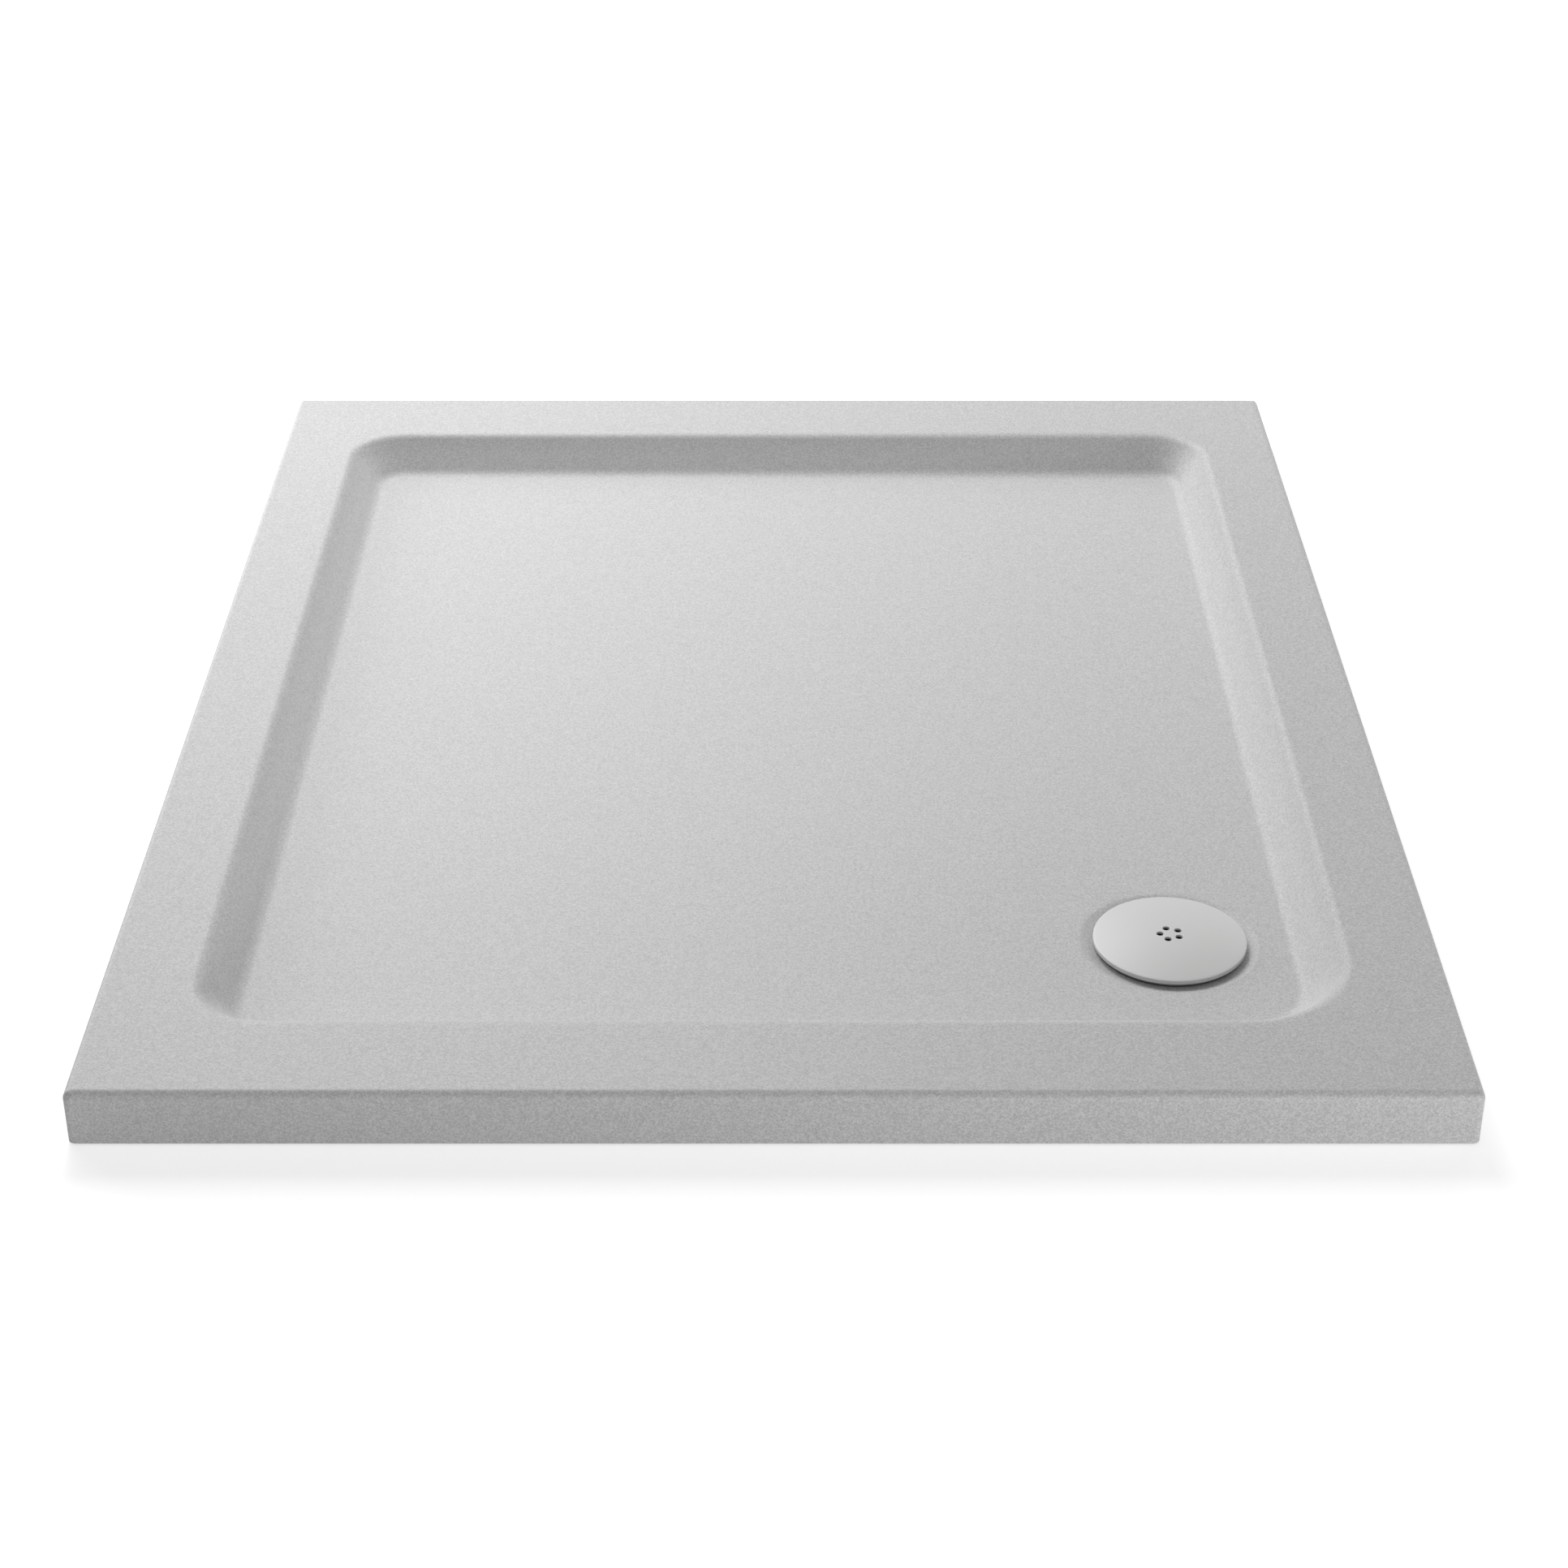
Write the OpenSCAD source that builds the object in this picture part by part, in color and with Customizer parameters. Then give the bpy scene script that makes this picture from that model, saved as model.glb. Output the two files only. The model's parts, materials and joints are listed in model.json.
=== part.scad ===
// Slimline shower tray with its 90 mm waste and low trap, in millimetres.
// X runs to the right, Y to the back and Z up.
// The origin is the middle of the flat underside, which is bedded on the floor.
// The trap hangs below it, in a pocket of the floor.

/* [Tray] */
// Width of the tray from side to side
tray_w = 900; // [800:10:1200]
// Depth of the tray from front to back
tray_d = 1100; // [800:10:1600]
// Height of the rim above the floor
tray_h = 40; // [39:1:60]
// Radius of the four upright outer corners
corner_r = 5; // [4:0.5:12]
// Radius of the rounded top edge of the outer sides
edge_r = 6; // [4:0.5:10]

/* [Basin] */
// Flat rim on the left and right, from the outer face to the lip
side_rim = 60; // [40:1:110]
// Flat rim at the front and back, from the outer face to the lip
end_rim = 76; // [40:0.5:130]
// Run of the left and right basin walls, from the lip to the floor
side_run = 34; // [26:1:40]
// Run of the front and back basin walls, from the lip to the floor
end_run = 44; // [26:1:50]
// Radius of the rounded lip where the rim turns down
lip_r = 10; // [3:0.5:10]
// Radius of the fillet at the foot of the walls
foot_r = 13; // [4:0.5:14]
// Plan radius of the lip in three corners
lip_corner_r = 52; // [40:1:100]
// Plan radius of the lip in the corner that holds the waste
waste_corner_r = 82; // [40:1:110]

/* [Floor] */
// Height of the floor at the edge of the dish round the waste, above the underside
dish_z = 9; // [8.5:0.5:15]
// Fall of the floor toward the waste, as a share of the distance
fall_share = 0.004; // [0.001:0.001:0.006]
// Depth of the shallow dish round the waste
dish_depth = 2; // [1:0.5:2.5]
// Width of the dish's slope
dish_slope_w = 9; // [4:0.5:16]
// Width of the flat seat beyond the edge of the waste flange
seat_margin = 2; // [1:0.25:4]
// Distance of the waste from the right lip
waste_in_side = 115; // [110:1:300]
// Distance of the waste from the front lip
waste_in_end = 144; // [115:0.5:500]
// Radius of the waste hole
waste_hole_r = 45; // [44:0.5:47]

/* [Sheet and core] */
// Thickness of the formed sheet that covers the tray
sheet_t = 2; // [1:0.25:2.5]
// Height of the edge of the sheet above the floor
sheet_lift = 1; // [0.5:0.5:4]
// Bond line between the sheet and the core
bond_gap = 0.3; // [0.2:0.05:0.5]
// Depth of the round pocket that the trap seals against, in the underside
pocket_depth = 1; // [0.5:0.25:1.5]
// Width of that pocket beyond the rim of the trap
pocket_margin = 5.5; // [2:0.5:12]

/* [Waste cover] */
// Reach of the domed cover beyond the edge of the waste flange
cover_lap = 1.5; // [0.5:0.25:4]
// Height of the upright edge of the cover
cover_edge_h = 2; // [1:0.25:3]
// Rise of the dome above its edge
cover_crown = 4; // [2:0.5:8]
// Wall thickness of the cover
cover_t = 1.6; // [1:0.1:2]
// Height of the cover's edge above the flat seat of the dish
cover_gap = 3.7; // [3:0.1:8]
// Number of drain holes in the crown
drain_count = 5; // [3:1:6]
// Radius of one drain hole
drain_r = 2.5; // [1.5:0.25:3]
// Radius of the ring of drain holes
drain_ring_r = 7.1; // [6.5:0.1:12]
// Number of legs under the cover
leg_count = 4; // [3:1:6]
// Angle that one leg takes up
leg_angle = 26; // [12:1:40]
// Wall thickness of a leg
leg_t = 2; // [1.5:0.25:3]
// Length of a leg inside the strainer well
leg_reach = 5; // [3:0.5:8]

/* [Waste flange] */
// Width of the flange outside the waste hole
flange_w = 7; // [4:0.25:10]
// Thickness of the flange at its edge
flange_t = 1.2; // [1:0.1:1.8]
// Thickness of the sealing ring under the flange
flange_seal_t = 0.8; // [0.5:0.1:1.5]
// Depth of the screw shelf below the top of the flange
shelf_drop = 4.5; // [4:0.25:7]
// Width of the screw shelf, from the skirt in to the well that holds the dip tube
shelf_w = 12.2; // [11.6:0.1:15]
// Thickness of the screw shelf
shelf_t = 2; // [1.5:0.25:3]
// Wall thickness of the well and the flange's skirt
well_t = 1.5; // [1:0.25:1.75]
// Length of the well below the screw shelf
well_len = 14.5; // [13:0.5:20]

/* [Screws] */
// Number of screws that pull the flange and the trap together
screw_count = 4; // [3:1:6]
// Radius of the screw shank
screw_r = 2.4; // [1.5:0.1:2.6]
// Radius of the screw head
screw_head_r = 4.2; // [3.5:0.1:4.4]
// Height of the screw head
screw_head_h = 2.8; // [2:0.2:3.5]
// Length of thread in the boss
screw_grip = 12; // [8:1:18]

/* [Trap] */
// Depth of the trap below the underside of the tray
trap_depth = 84; // [78:1:110]
// Wall thickness of the trap
trap_t = 2.5; // [2:0.25:3]
// Width of the rim that presses the lower seal
trap_rim_w = 6; // [5:0.5:7]
// Thickness of that rim
trap_rim_t = 3; // [2:0.5:4]
// Thickness of the lower seal
lower_seal_t = 3; // [2:0.25:4]
// Width of the water gap between the dip tube and the wall of the cup
cup_gap = 9; // [6:0.5:11]
// Depth of the top of the cup's wall, which is the weir
weir_drop = 30; // [26:1:40]
// Outer radius of the screw bosses
boss_r = 5; // [4:0.25:5]
// Height of the rib that carries each boss
boss_rib_h = 18; // [12:1:22]
// Thickness of that rib
boss_rib_t = 4; // [3:0.5:6]

/* [Dip tube and strainer] */
// Wall thickness of the dip tube
dip_t = 2; // [1.5:0.25:2.5]
// Width of the funnel from the strainer's ledge in to the dip tube
funnel_w = 4.5; // [2:0.25:8]
// Wall thickness of the collar that sits in the well
collar_t = 3.5; // [3:0.1:4]
// Length of the collar below the screw shelf
collar_len = 15.5; // [14:0.5:20]
// Thickness of the collar's rim
collar_rim_t = 1.5; // [1:0.25:2]
// Gap between the dip tube and the floor of the cup
dip_gap = 10; // [6:1:16]
// Diameter of the ring seal's cord
ring_d = 2.6; // [2:0.1:2.8]
// Depth of the ring seal below the screw shelf
ring_drop = 8; // [5:0.5:9]
// Thickness of the strainer plate
strainer_t = 1.5; // [1:0.25:2.5]
// Radius of a strainer hole
strainer_hole_r = 2.2; // [1.5:0.1:2.4]
// Height of the strainer's finger knob
knob_h = 7; // [4:0.5:9]
// Radius of the strainer's finger knob
knob_r = 3; // [2:0.25:4]

/* [Outlet] */
// Depth of the outlet's axis below the underside
outlet_drop = 36; // [35:0.5:40]
// Inner radius of the socket for the waste pipe
socket_r = 21.6; // [21:0.1:22]
// Wall thickness of the socket
socket_t = 2.9; // [2:0.1:3]
// Length of the socket
socket_len = 28; // [24:1:40]
// Thickness of the stop at the bottom of the socket
stop_t = 8; // [2:0.5:20]
// Width of that stop, from the socket's wall in to the water passage
stop_w = 2.6; // [1.5:0.1:5]
// Length of the stub on the trap's wall that the socket is welded to
stub_len = 3.5; // [1:0.5:10]
// Length of the tapered pipe seal
pipe_seal_len = 7; // [5:0.5:10]
// Thickness of the slip washer
washer_t = 1; // [0.5:0.25:2]
// Wall thickness of the outlet nut
nut_t = 3.5; // [3:0.25:4]
// Length of the outlet nut over the socket
nut_grip = 14; // [10:1:18]
// Number of finger ribs on the nut
nut_rib_count = 12; // [6:1:16]
// Height of a finger rib
nut_rib_h = 1.4; // [0.8:0.2:2]

/* [Hidden] */

// Facets of a full circle, and of the large circles of the dome
$fn = 96;
dome_facets = 720;
// Steps of the corners, the top edge, the lip and the foot of the wall
corner_steps = 6;
edge_steps = 4;
lip_steps = 4;
foot_steps = 4;
// Points along the straight of the right, back, left and front side
side_points = [9, 5, 6, 8];
// How far a cut runs past the face that it opens
overrun = 1;
// Smallest radius that a corner shrinks to
tight_r = 0.5;
// Gap between pieces that move past each other, or lie beside each other
slip_gap = 0.3;
// Gap between a seal or thread and the wall next to it
seal_gap = 0.1;
// Gap between the waste parts and the hole that they go through
hole_gap = 1;
// Step back of a sealing ring from the edge that presses it
seal_step = 0.5;
// Radial clearance of a screw in the flange
screw_gap = 0.35;
// Gap between a screw head and the collar beside it
head_gap = 0.6;

// Level of the seat, and how far the core lies behind the upper surface
seat_z = dish_z - dish_depth;
core_off = sheet_t + bond_gap;

// Radii of the flange, its seat, the dish and the cover
flange_r = waste_hole_r + flange_w;
seat_r = flange_r + seat_margin;
dish_r = seat_r + dish_slope_w;
cover_r = flange_r + cover_lap;

// The waste axis
waste_x = tray_w / 2 - side_rim - waste_in_side;
waste_y = -tray_d / 2 + end_rim + waste_in_end;

// Plan radius in each corner, front right, back right, back left, front left: at the lip and at the foot
lip_radii = [waste_corner_r, lip_corner_r, lip_corner_r, lip_corner_r];
foot_radii = [for (r = lip_radii) stepped(r, side_run)];

// The waste flange
flange_z = seat_z + flange_seal_t;
flange_top = flange_z + flange_t;
shelf_z = flange_top - shelf_drop;
skirt_r = waste_hole_r - hole_gap;
skirt_in_r = skirt_r - well_t;
well_r = skirt_in_r - shelf_w;
well_out_r = well_r + well_t;
screw_ring_r = skirt_in_r - screw_head_r - slip_gap;

// The dip tube
collar_r = well_r - slip_gap;
collar_in_r = collar_r - collar_t;
collar_rim_r = screw_ring_r - screw_head_r - head_gap;
collar_rim_z = shelf_z + collar_rim_t;
groove_r = well_r - ring_d - 2 * seal_gap;
ledge_z = shelf_z - collar_len;
ledge_r = collar_in_r - dip_t;
dip_r = ledge_r - funnel_w;
dip_out_r = dip_r + dip_t;
strainer_r = collar_in_r - slip_gap;

// The trap
trap_in_r = waste_hole_r + hole_gap;
trap_out_r = trap_in_r + trap_t;
trap_rim_r = trap_out_r + trap_rim_w;
trap_top = pocket_depth - lower_seal_t;
pocket_r = trap_rim_r + pocket_margin;
cup_r = dip_out_r + cup_gap;
cup_out_r = cup_r + trap_t;
cup_floor_z = trap_t - trap_depth;
dip_bottom = cup_floor_z + dip_gap;
boss_top = shelf_z - shelf_t - slip_gap;
boss_bottom = trap_top - trap_rim_t - boss_rib_h;

// The cover
cover_z = seat_z + cover_gap;
cover_edge_z = cover_z + cover_edge_h;
crown_z = cover_edge_z + cover_crown;
dome_r = (cover_r * cover_r + cover_crown * cover_crown) / (2 * cover_crown);
leg_out_r = collar_in_r - slip_gap;

// The outlet, with its places measured along X from the waste axis
passage_r = socket_r - stop_w;
channel_z = -outlet_drop - passage_r - hole_gap;
socket_out_r = socket_r + socket_t;
stub_start = sqrt(pow(trap_in_r + trap_t / 2, 2) - pow(socket_out_r, 2));
stub_end = trap_out_r + stub_len;
socket_stop = stub_end + stop_t;
socket_mouth = socket_stop + socket_len;
nut_in_r = socket_out_r + slip_gap;
nut_r = nut_in_r + nut_t;
nut_wall_x = socket_mouth + pipe_seal_len + washer_t;
pipe_gap_r = socket_r + slip_gap;

// Plan radius of a corner after an inward step of the outline
function stepped(r, step) = max(r - step, tight_r);

// Length that a corner takes up beyond the lip line, for the lip and the foot alike
function corner_y(r) = max(r, end_run + stepped(r, side_run));
function corner_x(r) = max(r, side_run + stepped(r, side_run));

// Ends of the straights: how far the common straight reaches on each side
front_y = [for (r = lip_radii) -tray_d / 2 + end_rim + corner_y(r)];
back_y = [for (r = lip_radii) tray_d / 2 - end_rim - corner_y(r)];
right_x = [for (r = lip_radii) tray_w / 2 - side_rim - corner_x(r)];
left_x = [for (r = lip_radii) -tray_w / 2 + side_rim + corner_x(r)];

// Distance of the waste axis from the foot of each wall
foot_x = tray_w / 2 - side_rim - side_run;
foot_y = tray_d / 2 - end_rim - end_run;

// Points between a and b on a line at distance h, evenly spread as seen from the waste axis
function spread(a, b, h, n) =
    [for (k = [1 : n]) h * tan(atan(a / h) + (atan(b / h) - atan(a / h)) * k / (n + 1))];
right_ys = [for (s = spread(front_y[0] - waste_y, back_y[1] - waste_y, foot_x - waste_x, side_points[0]))
    waste_y + s];
back_xs = [for (s = spread(right_x[1] - waste_x, left_x[2] - waste_x, foot_y - waste_y, side_points[1]))
    waste_x + s];
left_ys = [for (s = spread(back_y[2] - waste_y, front_y[3] - waste_y, foot_x + waste_x, side_points[2]))
    waste_y + s];
front_xs = [for (s = spread(left_x[3] - waste_x, right_x[0] - waste_x, foot_y + waste_y, side_points[3]))
    waste_x + s];

// A quarter circle of the outline, counter-clockwise from the angle start
function quarter(x, y, r, start) =
    [for (k = [0 : corner_steps]) [x, y] + r * [cos(start + 90 * k / corner_steps),
                                                sin(start + 90 * k / corner_steps)]];

// The outline stepped in by u at the sides and v at the ends, with its four corner radii
function outline(u, v, radii) =
    let (x = tray_w / 2 - u, y = tray_d / 2 - v)
    concat(quarter(x - radii[0], radii[0] - y, radii[0], -90), [for (s = right_ys) [x, s]],
           quarter(x - radii[1], y - radii[1], radii[1], 0), [for (s = back_xs) [s, y]],
           quarter(radii[2] - x, y - radii[2], radii[2], 90), [for (s = left_ys) [-x, s]],
           quarter(radii[3] - x, radii[3] - y, radii[3], 180), [for (s = front_xs) [s, -y]]);

// The line where the rim turns down, and the line at the foot of the walls
lip_line = outline(side_rim, end_rim, lip_radii);
foot_line = outline(side_rim + side_run, end_rim + end_run, foot_radii);
stations = [0 : len(lip_line) - 1];

// Level of the foot at each station: the floor is a flat cone that falls evenly to the dish
foot_z = [for (p = foot_line) dish_z + fall_share * (norm(p - [waste_x, waste_y]) - dish_r)];

// Slope of the side wall at each station, tangent to the arc of the lip and to the arc of the foot
wall_a = [for (z = foot_z) let (rise = tray_h - z - lip_r - foot_r)
    atan2(rise, side_run) + asin((lip_r + foot_r) / norm([side_run, rise]))];

// A ring of the outer side, stepped in alike all round
function outer_ring(u, z) =
    [for (p = outline(u, u, [for (r = lip_radii) stepped(corner_r, u)])) [p[0], p[1], z]];

// A point of the basin's wall. The end walls are the side wall drawn out to their own run.
function wall_point(i, u, z) =
    let (p = lip_line[i] + (foot_line[i] - lip_line[i]) * (u - side_rim) / side_run) [p[0], p[1], z];

// Rings of the rounded lip and of the fillet at the foot, where share runs from 0 at the lip side to 1
function lip_ring(share, off) =
    [for (i = stations) let (a = wall_a[i] * share, r = lip_r - off)
        wall_point(i, side_rim + r * sin(a), tray_h - lip_r + r * cos(a))];
function foot_ring(share, off) =
    [for (i = stations) let (a = wall_a[i] * (1 - share), r = foot_r + off)
        wall_point(i, side_rim + side_run - r * sin(a), foot_z[i] + foot_r - r * cos(a))];

// A circle about the waste axis, with its points in line with those of the foot
function waste_ring(r, z) =
    [for (p = foot_line) let (a = atan2(p[1] - waste_y, p[0] - waste_x))
        [waste_x + r * cos(a), waste_y + r * sin(a), z]];

// Rings of the tray's upper surface, a distance off inside it: top edge, lip, wall, foot, floor and dish
function surface_rings(off) = concat(
    [for (k = [0 : edge_steps]) let (a = 90 * (k / edge_steps - 1), r = edge_r - off)
        outer_ring(edge_r + r * sin(a), tray_h - edge_r + r * cos(a))],
    [for (k = [0 : lip_steps]) lip_ring(k / lip_steps, off)],
    [for (k = [0 : foot_steps]) foot_ring(k / foot_steps, off)],
    [waste_ring(dish_r, dish_z - off), waste_ring(seat_r, seat_z - off)]);

function backwards(list) = [for (k = [len(list) - 1 : -1 : 0]) list[k]];

// A closed body through a stack of rings that have the same number of points.
// Each four-sided patch folds along its shorter diagonal, so that surfaces a wall apart fold alike.
// Each end face starts in the middle of a corner's arc, off the line of every straight side.
module loft(rings) {
    n = len(rings[0]);
    points = [for (ring = rings) each ring];
    first = floor(corner_steps / 2);
    last = (len(rings) - 1) * n;
    bands = [for (k = [0 : len(rings) - 2], i = [0 : n - 1])
        let (a = k * n + i, b = k * n + (i + 1) % n)
        each norm(points[a] - points[b + n]) < norm(points[b] - points[a + n])
            ? [[a, a + n, b + n], [a, b + n, b]]
            : [[a, a + n, b], [b, a + n, b + n]]];
    bottom = [for (i = [0 : n - 1]) (i + first) % n];
    top = [for (i = [n - 1 : -1 : 0]) last + (i + first) % n];
    polyhedron(points, concat(bands, [bottom, top]));
}

module at_waste() {
    translate([waste_x, waste_y, 0]) children();
}

// A plain ring about the waste axis
module waste_washer(inner, outer, bottom, height) {
    at_waste() translate([0, 0, bottom]) linear_extrude(height) difference() {
        circle(outer);
        circle(inner);
    }
}

// A ring about the outlet's axis, which runs to the right
module at_outlet(start) {
    at_waste() translate([start, 0, -outlet_drop]) rotate([0, 90, 0]) children();
}

// The formed sheet: rim, outer sides, basin and dish in one, with the waste hole
module tray_sheet() {
    color("lightgray") difference() {
        loft(concat(backwards(surface_rings(sheet_t)),
                    [outer_ring(sheet_t, sheet_lift), outer_ring(0, sheet_lift)],
                    surface_rings(0)));
        at_waste() cylinder(h = tray_h, r = waste_hole_r);
    }
}

// The cast core that fills the sheet from behind, down to the flat underside
module resin_core() {
    color("darkgray") difference() {
        loft(concat([outer_ring(core_off, 0)], surface_rings(core_off)));
        at_waste() translate([0, 0, -overrun]) cylinder(h = tray_h, r = waste_hole_r);
        at_waste() translate([0, 0, -overrun]) cylinder(h = pocket_depth + overrun, r = pocket_r);
    }
}

// Half of the dome's section: a shell of wall t under a large circle, closed at the edge
module cover_section() {
    difference() {
        intersection() {
            translate([0, crown_z - dome_r]) circle(dome_r, $fn = dome_facets);
            translate([0, cover_z]) square([cover_r, cover_edge_h + cover_crown]);
        }
        intersection() {
            translate([0, crown_z - dome_r]) circle(dome_r - cover_t, $fn = dome_facets);
            translate([-overrun, cover_z - overrun]) square([cover_r + overrun - cover_t, crown_z]);
        }
    }
}

// A leg stands on the collar's rim by its shoulder and centres the cover in the collar
module cover_leg() {
    leg_top = crown_z - dome_r + sqrt(pow(dome_r, 2) - pow(leg_out_r + leg_t, 2)) - cover_t / 2;
    rotate_extrude(angle = leg_angle) polygon([
        [leg_out_r - leg_t, collar_rim_z - leg_reach],
        [leg_out_r, collar_rim_z - leg_reach],
        [leg_out_r, collar_rim_z],
        [leg_out_r + leg_t, collar_rim_z],
        [leg_out_r + leg_t, leg_top],
        [leg_out_r - leg_t, leg_top]]);
}

// The domed cover, with its ring of drain holes and its legs
module waste_cover() {
    color("gainsboro") at_waste() difference() {
        union() {
            rotate_extrude() cover_section();
            for (k = [0 : leg_count - 1]) rotate(360 * (k + 1 / 2) / leg_count - leg_angle / 2) cover_leg();
        }
        for (k = [0 : drain_count - 1]) rotate(180 + 360 * k / drain_count)
            translate([drain_ring_r, 0, cover_z]) cylinder(h = crown_z, r = drain_r);
    }
}

// Angle of each screw, clear of the outlet
module each_screw() {
    at_waste() for (k = [0 : screw_count - 1]) rotate(360 * (k + 1 / 2) / screw_count)
        translate([screw_ring_r, 0, 0]) children();
}

// The flange: edge, funnel, screw shelf and the well that takes the dip tube
module top_flange() {
    color("gray") difference() {
        at_waste() rotate_extrude() polygon([
            [flange_r, flange_z],
            [flange_r, flange_z + flange_t / 2],
            [flange_r - flange_t / 2, flange_top],
            [skirt_r + hole_gap, flange_top],
            [skirt_in_r, flange_top - shelf_drop / 3],
            [skirt_in_r, shelf_z],
            [well_r, shelf_z],
            [well_r, shelf_z - well_len],
            [well_out_r, shelf_z - well_len],
            [well_out_r, shelf_z - shelf_t],
            [skirt_r, shelf_z - shelf_t],
            [skirt_r, flange_z]]);
        each_screw() translate([0, 0, shelf_z - shelf_t - overrun])
            cylinder(h = shelf_t + 2 * overrun, r = screw_r + screw_gap);
    }
}

module flange_seal() {
    color("dimgray") waste_washer(waste_hole_r + hole_gap, flange_r - seal_step, seat_z, flange_seal_t);
}

// A pan-head screw with a cross recess
module screw() {
    shank = shelf_t + slip_gap + screw_grip;
    slot = screw_r / 2;
    difference() {
        union() {
            translate([0, 0, -shank]) cylinder(h = shank + screw_head_h / 2, r = screw_r);
            rotate_extrude() polygon([[0, 0], [screw_head_r, 0], [screw_head_r, screw_head_h / 2],
                [screw_head_r - screw_head_h / 2, screw_head_h], [0, screw_head_h]]);
        }
        for (turn = [0, 90]) rotate(turn) translate([-screw_r, -slot / 2, screw_head_h / 2])
            cube([2 * screw_r, slot, screw_head_h]);
    }
}

module flange_screws() {
    color("silver") each_screw() translate([0, 0, shelf_z]) screw();
}

module lower_seal() {
    color("dimgray") waste_washer(trap_in_r, trap_rim_r - seal_step, trap_top, lower_seal_t);
}

// Section of the trap: rim, outer wall, channel, weir and water cup
module trap_section() {
    polygon([
        [trap_rim_r, trap_top],
        [trap_rim_r, trap_top - trap_rim_t],
        [trap_out_r, trap_top - trap_rim_t],
        [trap_out_r, channel_z - trap_t],
        [cup_out_r, channel_z - trap_t],
        [cup_out_r, cup_floor_z],
        [cup_out_r - trap_t, -trap_depth],
        [0, -trap_depth],
        [0, cup_floor_z],
        [cup_r, cup_floor_z],
        [cup_r, -weir_drop],
        [cup_out_r, -weir_drop],
        [cup_out_r, channel_z],
        [trap_in_r, channel_z],
        [trap_in_r, trap_top]]);
}

// A screw boss that stands up through the waste hole on a rib from the trap's wall
module trap_boss() {
    rib_top = trap_top - trap_rim_t;
    translate([0, 0, boss_bottom]) cylinder(h = boss_top - boss_bottom, r = boss_r);
    translate([0, -boss_rib_t / 2, boss_bottom])
        cube([trap_in_r - screw_ring_r + trap_t / 2, boss_rib_t, rib_top - boss_bottom]);
}

// The trap body: water cup, weir, outer channel, screw bosses and the stub for the outlet socket
module trap_body() {
    color("whitesmoke") difference() {
        union() {
            at_waste() rotate_extrude() trap_section();
            each_screw() trap_boss();
            difference() {
                at_outlet(stub_start) cylinder(h = stub_end - stub_start, r = socket_out_r);
                at_waste() translate([0, 0, channel_z]) cylinder(h = -channel_z, r = trap_in_r);
            }
        }
        at_outlet(cup_out_r + hole_gap) cylinder(h = stub_end - cup_out_r, r = passage_r);
        each_screw() translate([0, 0, boss_top - screw_grip - overrun])
            cylinder(h = screw_grip + 2 * overrun, r = screw_r + seal_gap);
    }
}

// The socket for the waste pipe, welded to the stub on the trap, with a stop for the pipe's end
module outlet_socket() {
    color("whitesmoke") difference() {
        at_outlet(stub_end) cylinder(h = socket_mouth - stub_end, r = socket_out_r);
        at_outlet(stub_end - overrun) cylinder(h = stop_t + 2 * overrun, r = passage_r);
        at_outlet(socket_stop) cylinder(h = socket_len + overrun, r = socket_r);
    }
}

// The removable dip tube: rim, collar with its ring groove, strainer ledge, funnel and tube
module dip_tube() {
    groove_z = shelf_z - ring_drop;
    groove_h = ring_d / 2 + seal_gap;
    funnel_z = ledge_z - funnel_w - dip_t;
    color("gray") at_waste() rotate_extrude() polygon([
        [collar_rim_r, shelf_z],
        [collar_rim_r, collar_rim_z],
        [collar_in_r, collar_rim_z],
        [collar_in_r, ledge_z],
        [ledge_r, ledge_z],
        [dip_r, funnel_z],
        [dip_r, dip_bottom],
        [dip_out_r, dip_bottom],
        [dip_out_r, funnel_z - dip_t],
        [collar_r, ledge_z - dip_t],
        [collar_r, groove_z - groove_h],
        [groove_r, groove_z - groove_h],
        [groove_r, groove_z + groove_h],
        [collar_r, groove_z + groove_h],
        [collar_r, shelf_z]]);
}

module dip_tube_seal() {
    color("dimgray") at_waste() translate([0, 0, shelf_z - ring_drop])
        rotate_extrude() translate([well_r - seal_gap - ring_d / 2, 0]) circle(ring_d / 2);
}

// The hair strainer: a plate with two rings of holes and a finger knob
module hair_strainer() {
    pitch = (strainer_r - knob_r) / 3;
    color("gray") at_waste() translate([0, 0, ledge_z]) {
        difference() {
            union() {
                cylinder(h = strainer_t, r = strainer_r);
                cylinder(h = knob_h, r = knob_r);
            }
            for (row = [1, 2], k = [0 : 6 * row]) rotate(360 * k / (6 * row + 1))
                translate([knob_r + row * pitch - pitch / 4, 0, -overrun])
                    cylinder(h = strainer_t + 2 * overrun, r = strainer_hole_r);
        }
    }
}

// The outlet nut: a sleeve over the socket, an end wall with the pipe's hole, and finger ribs
module outlet_nut() {
    nut_start = socket_mouth - nut_grip;
    length = nut_wall_x + nut_t - nut_start;
    color("whitesmoke") at_outlet(nut_start) {
        difference() {
            union() {
                cylinder(h = length, r = nut_r);
                for (k = [0 : nut_rib_count - 1]) rotate(360 * k / nut_rib_count)
                    translate([nut_r, 0, 0]) cylinder(h = length - nut_t, r = nut_rib_h);
            }
            translate([0, 0, -overrun]) cylinder(h = nut_wall_x - nut_start + overrun, r = nut_in_r);
            cylinder(h = length + overrun, r = pipe_gap_r);
        }
    }
}

// The slip washer between the nut's end wall and the tapered seal
module outlet_washer() {
    color("gainsboro") at_outlet(nut_wall_x - washer_t) linear_extrude(washer_t) difference() {
        circle(socket_out_r);
        circle(pipe_gap_r);
    }
}

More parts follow.
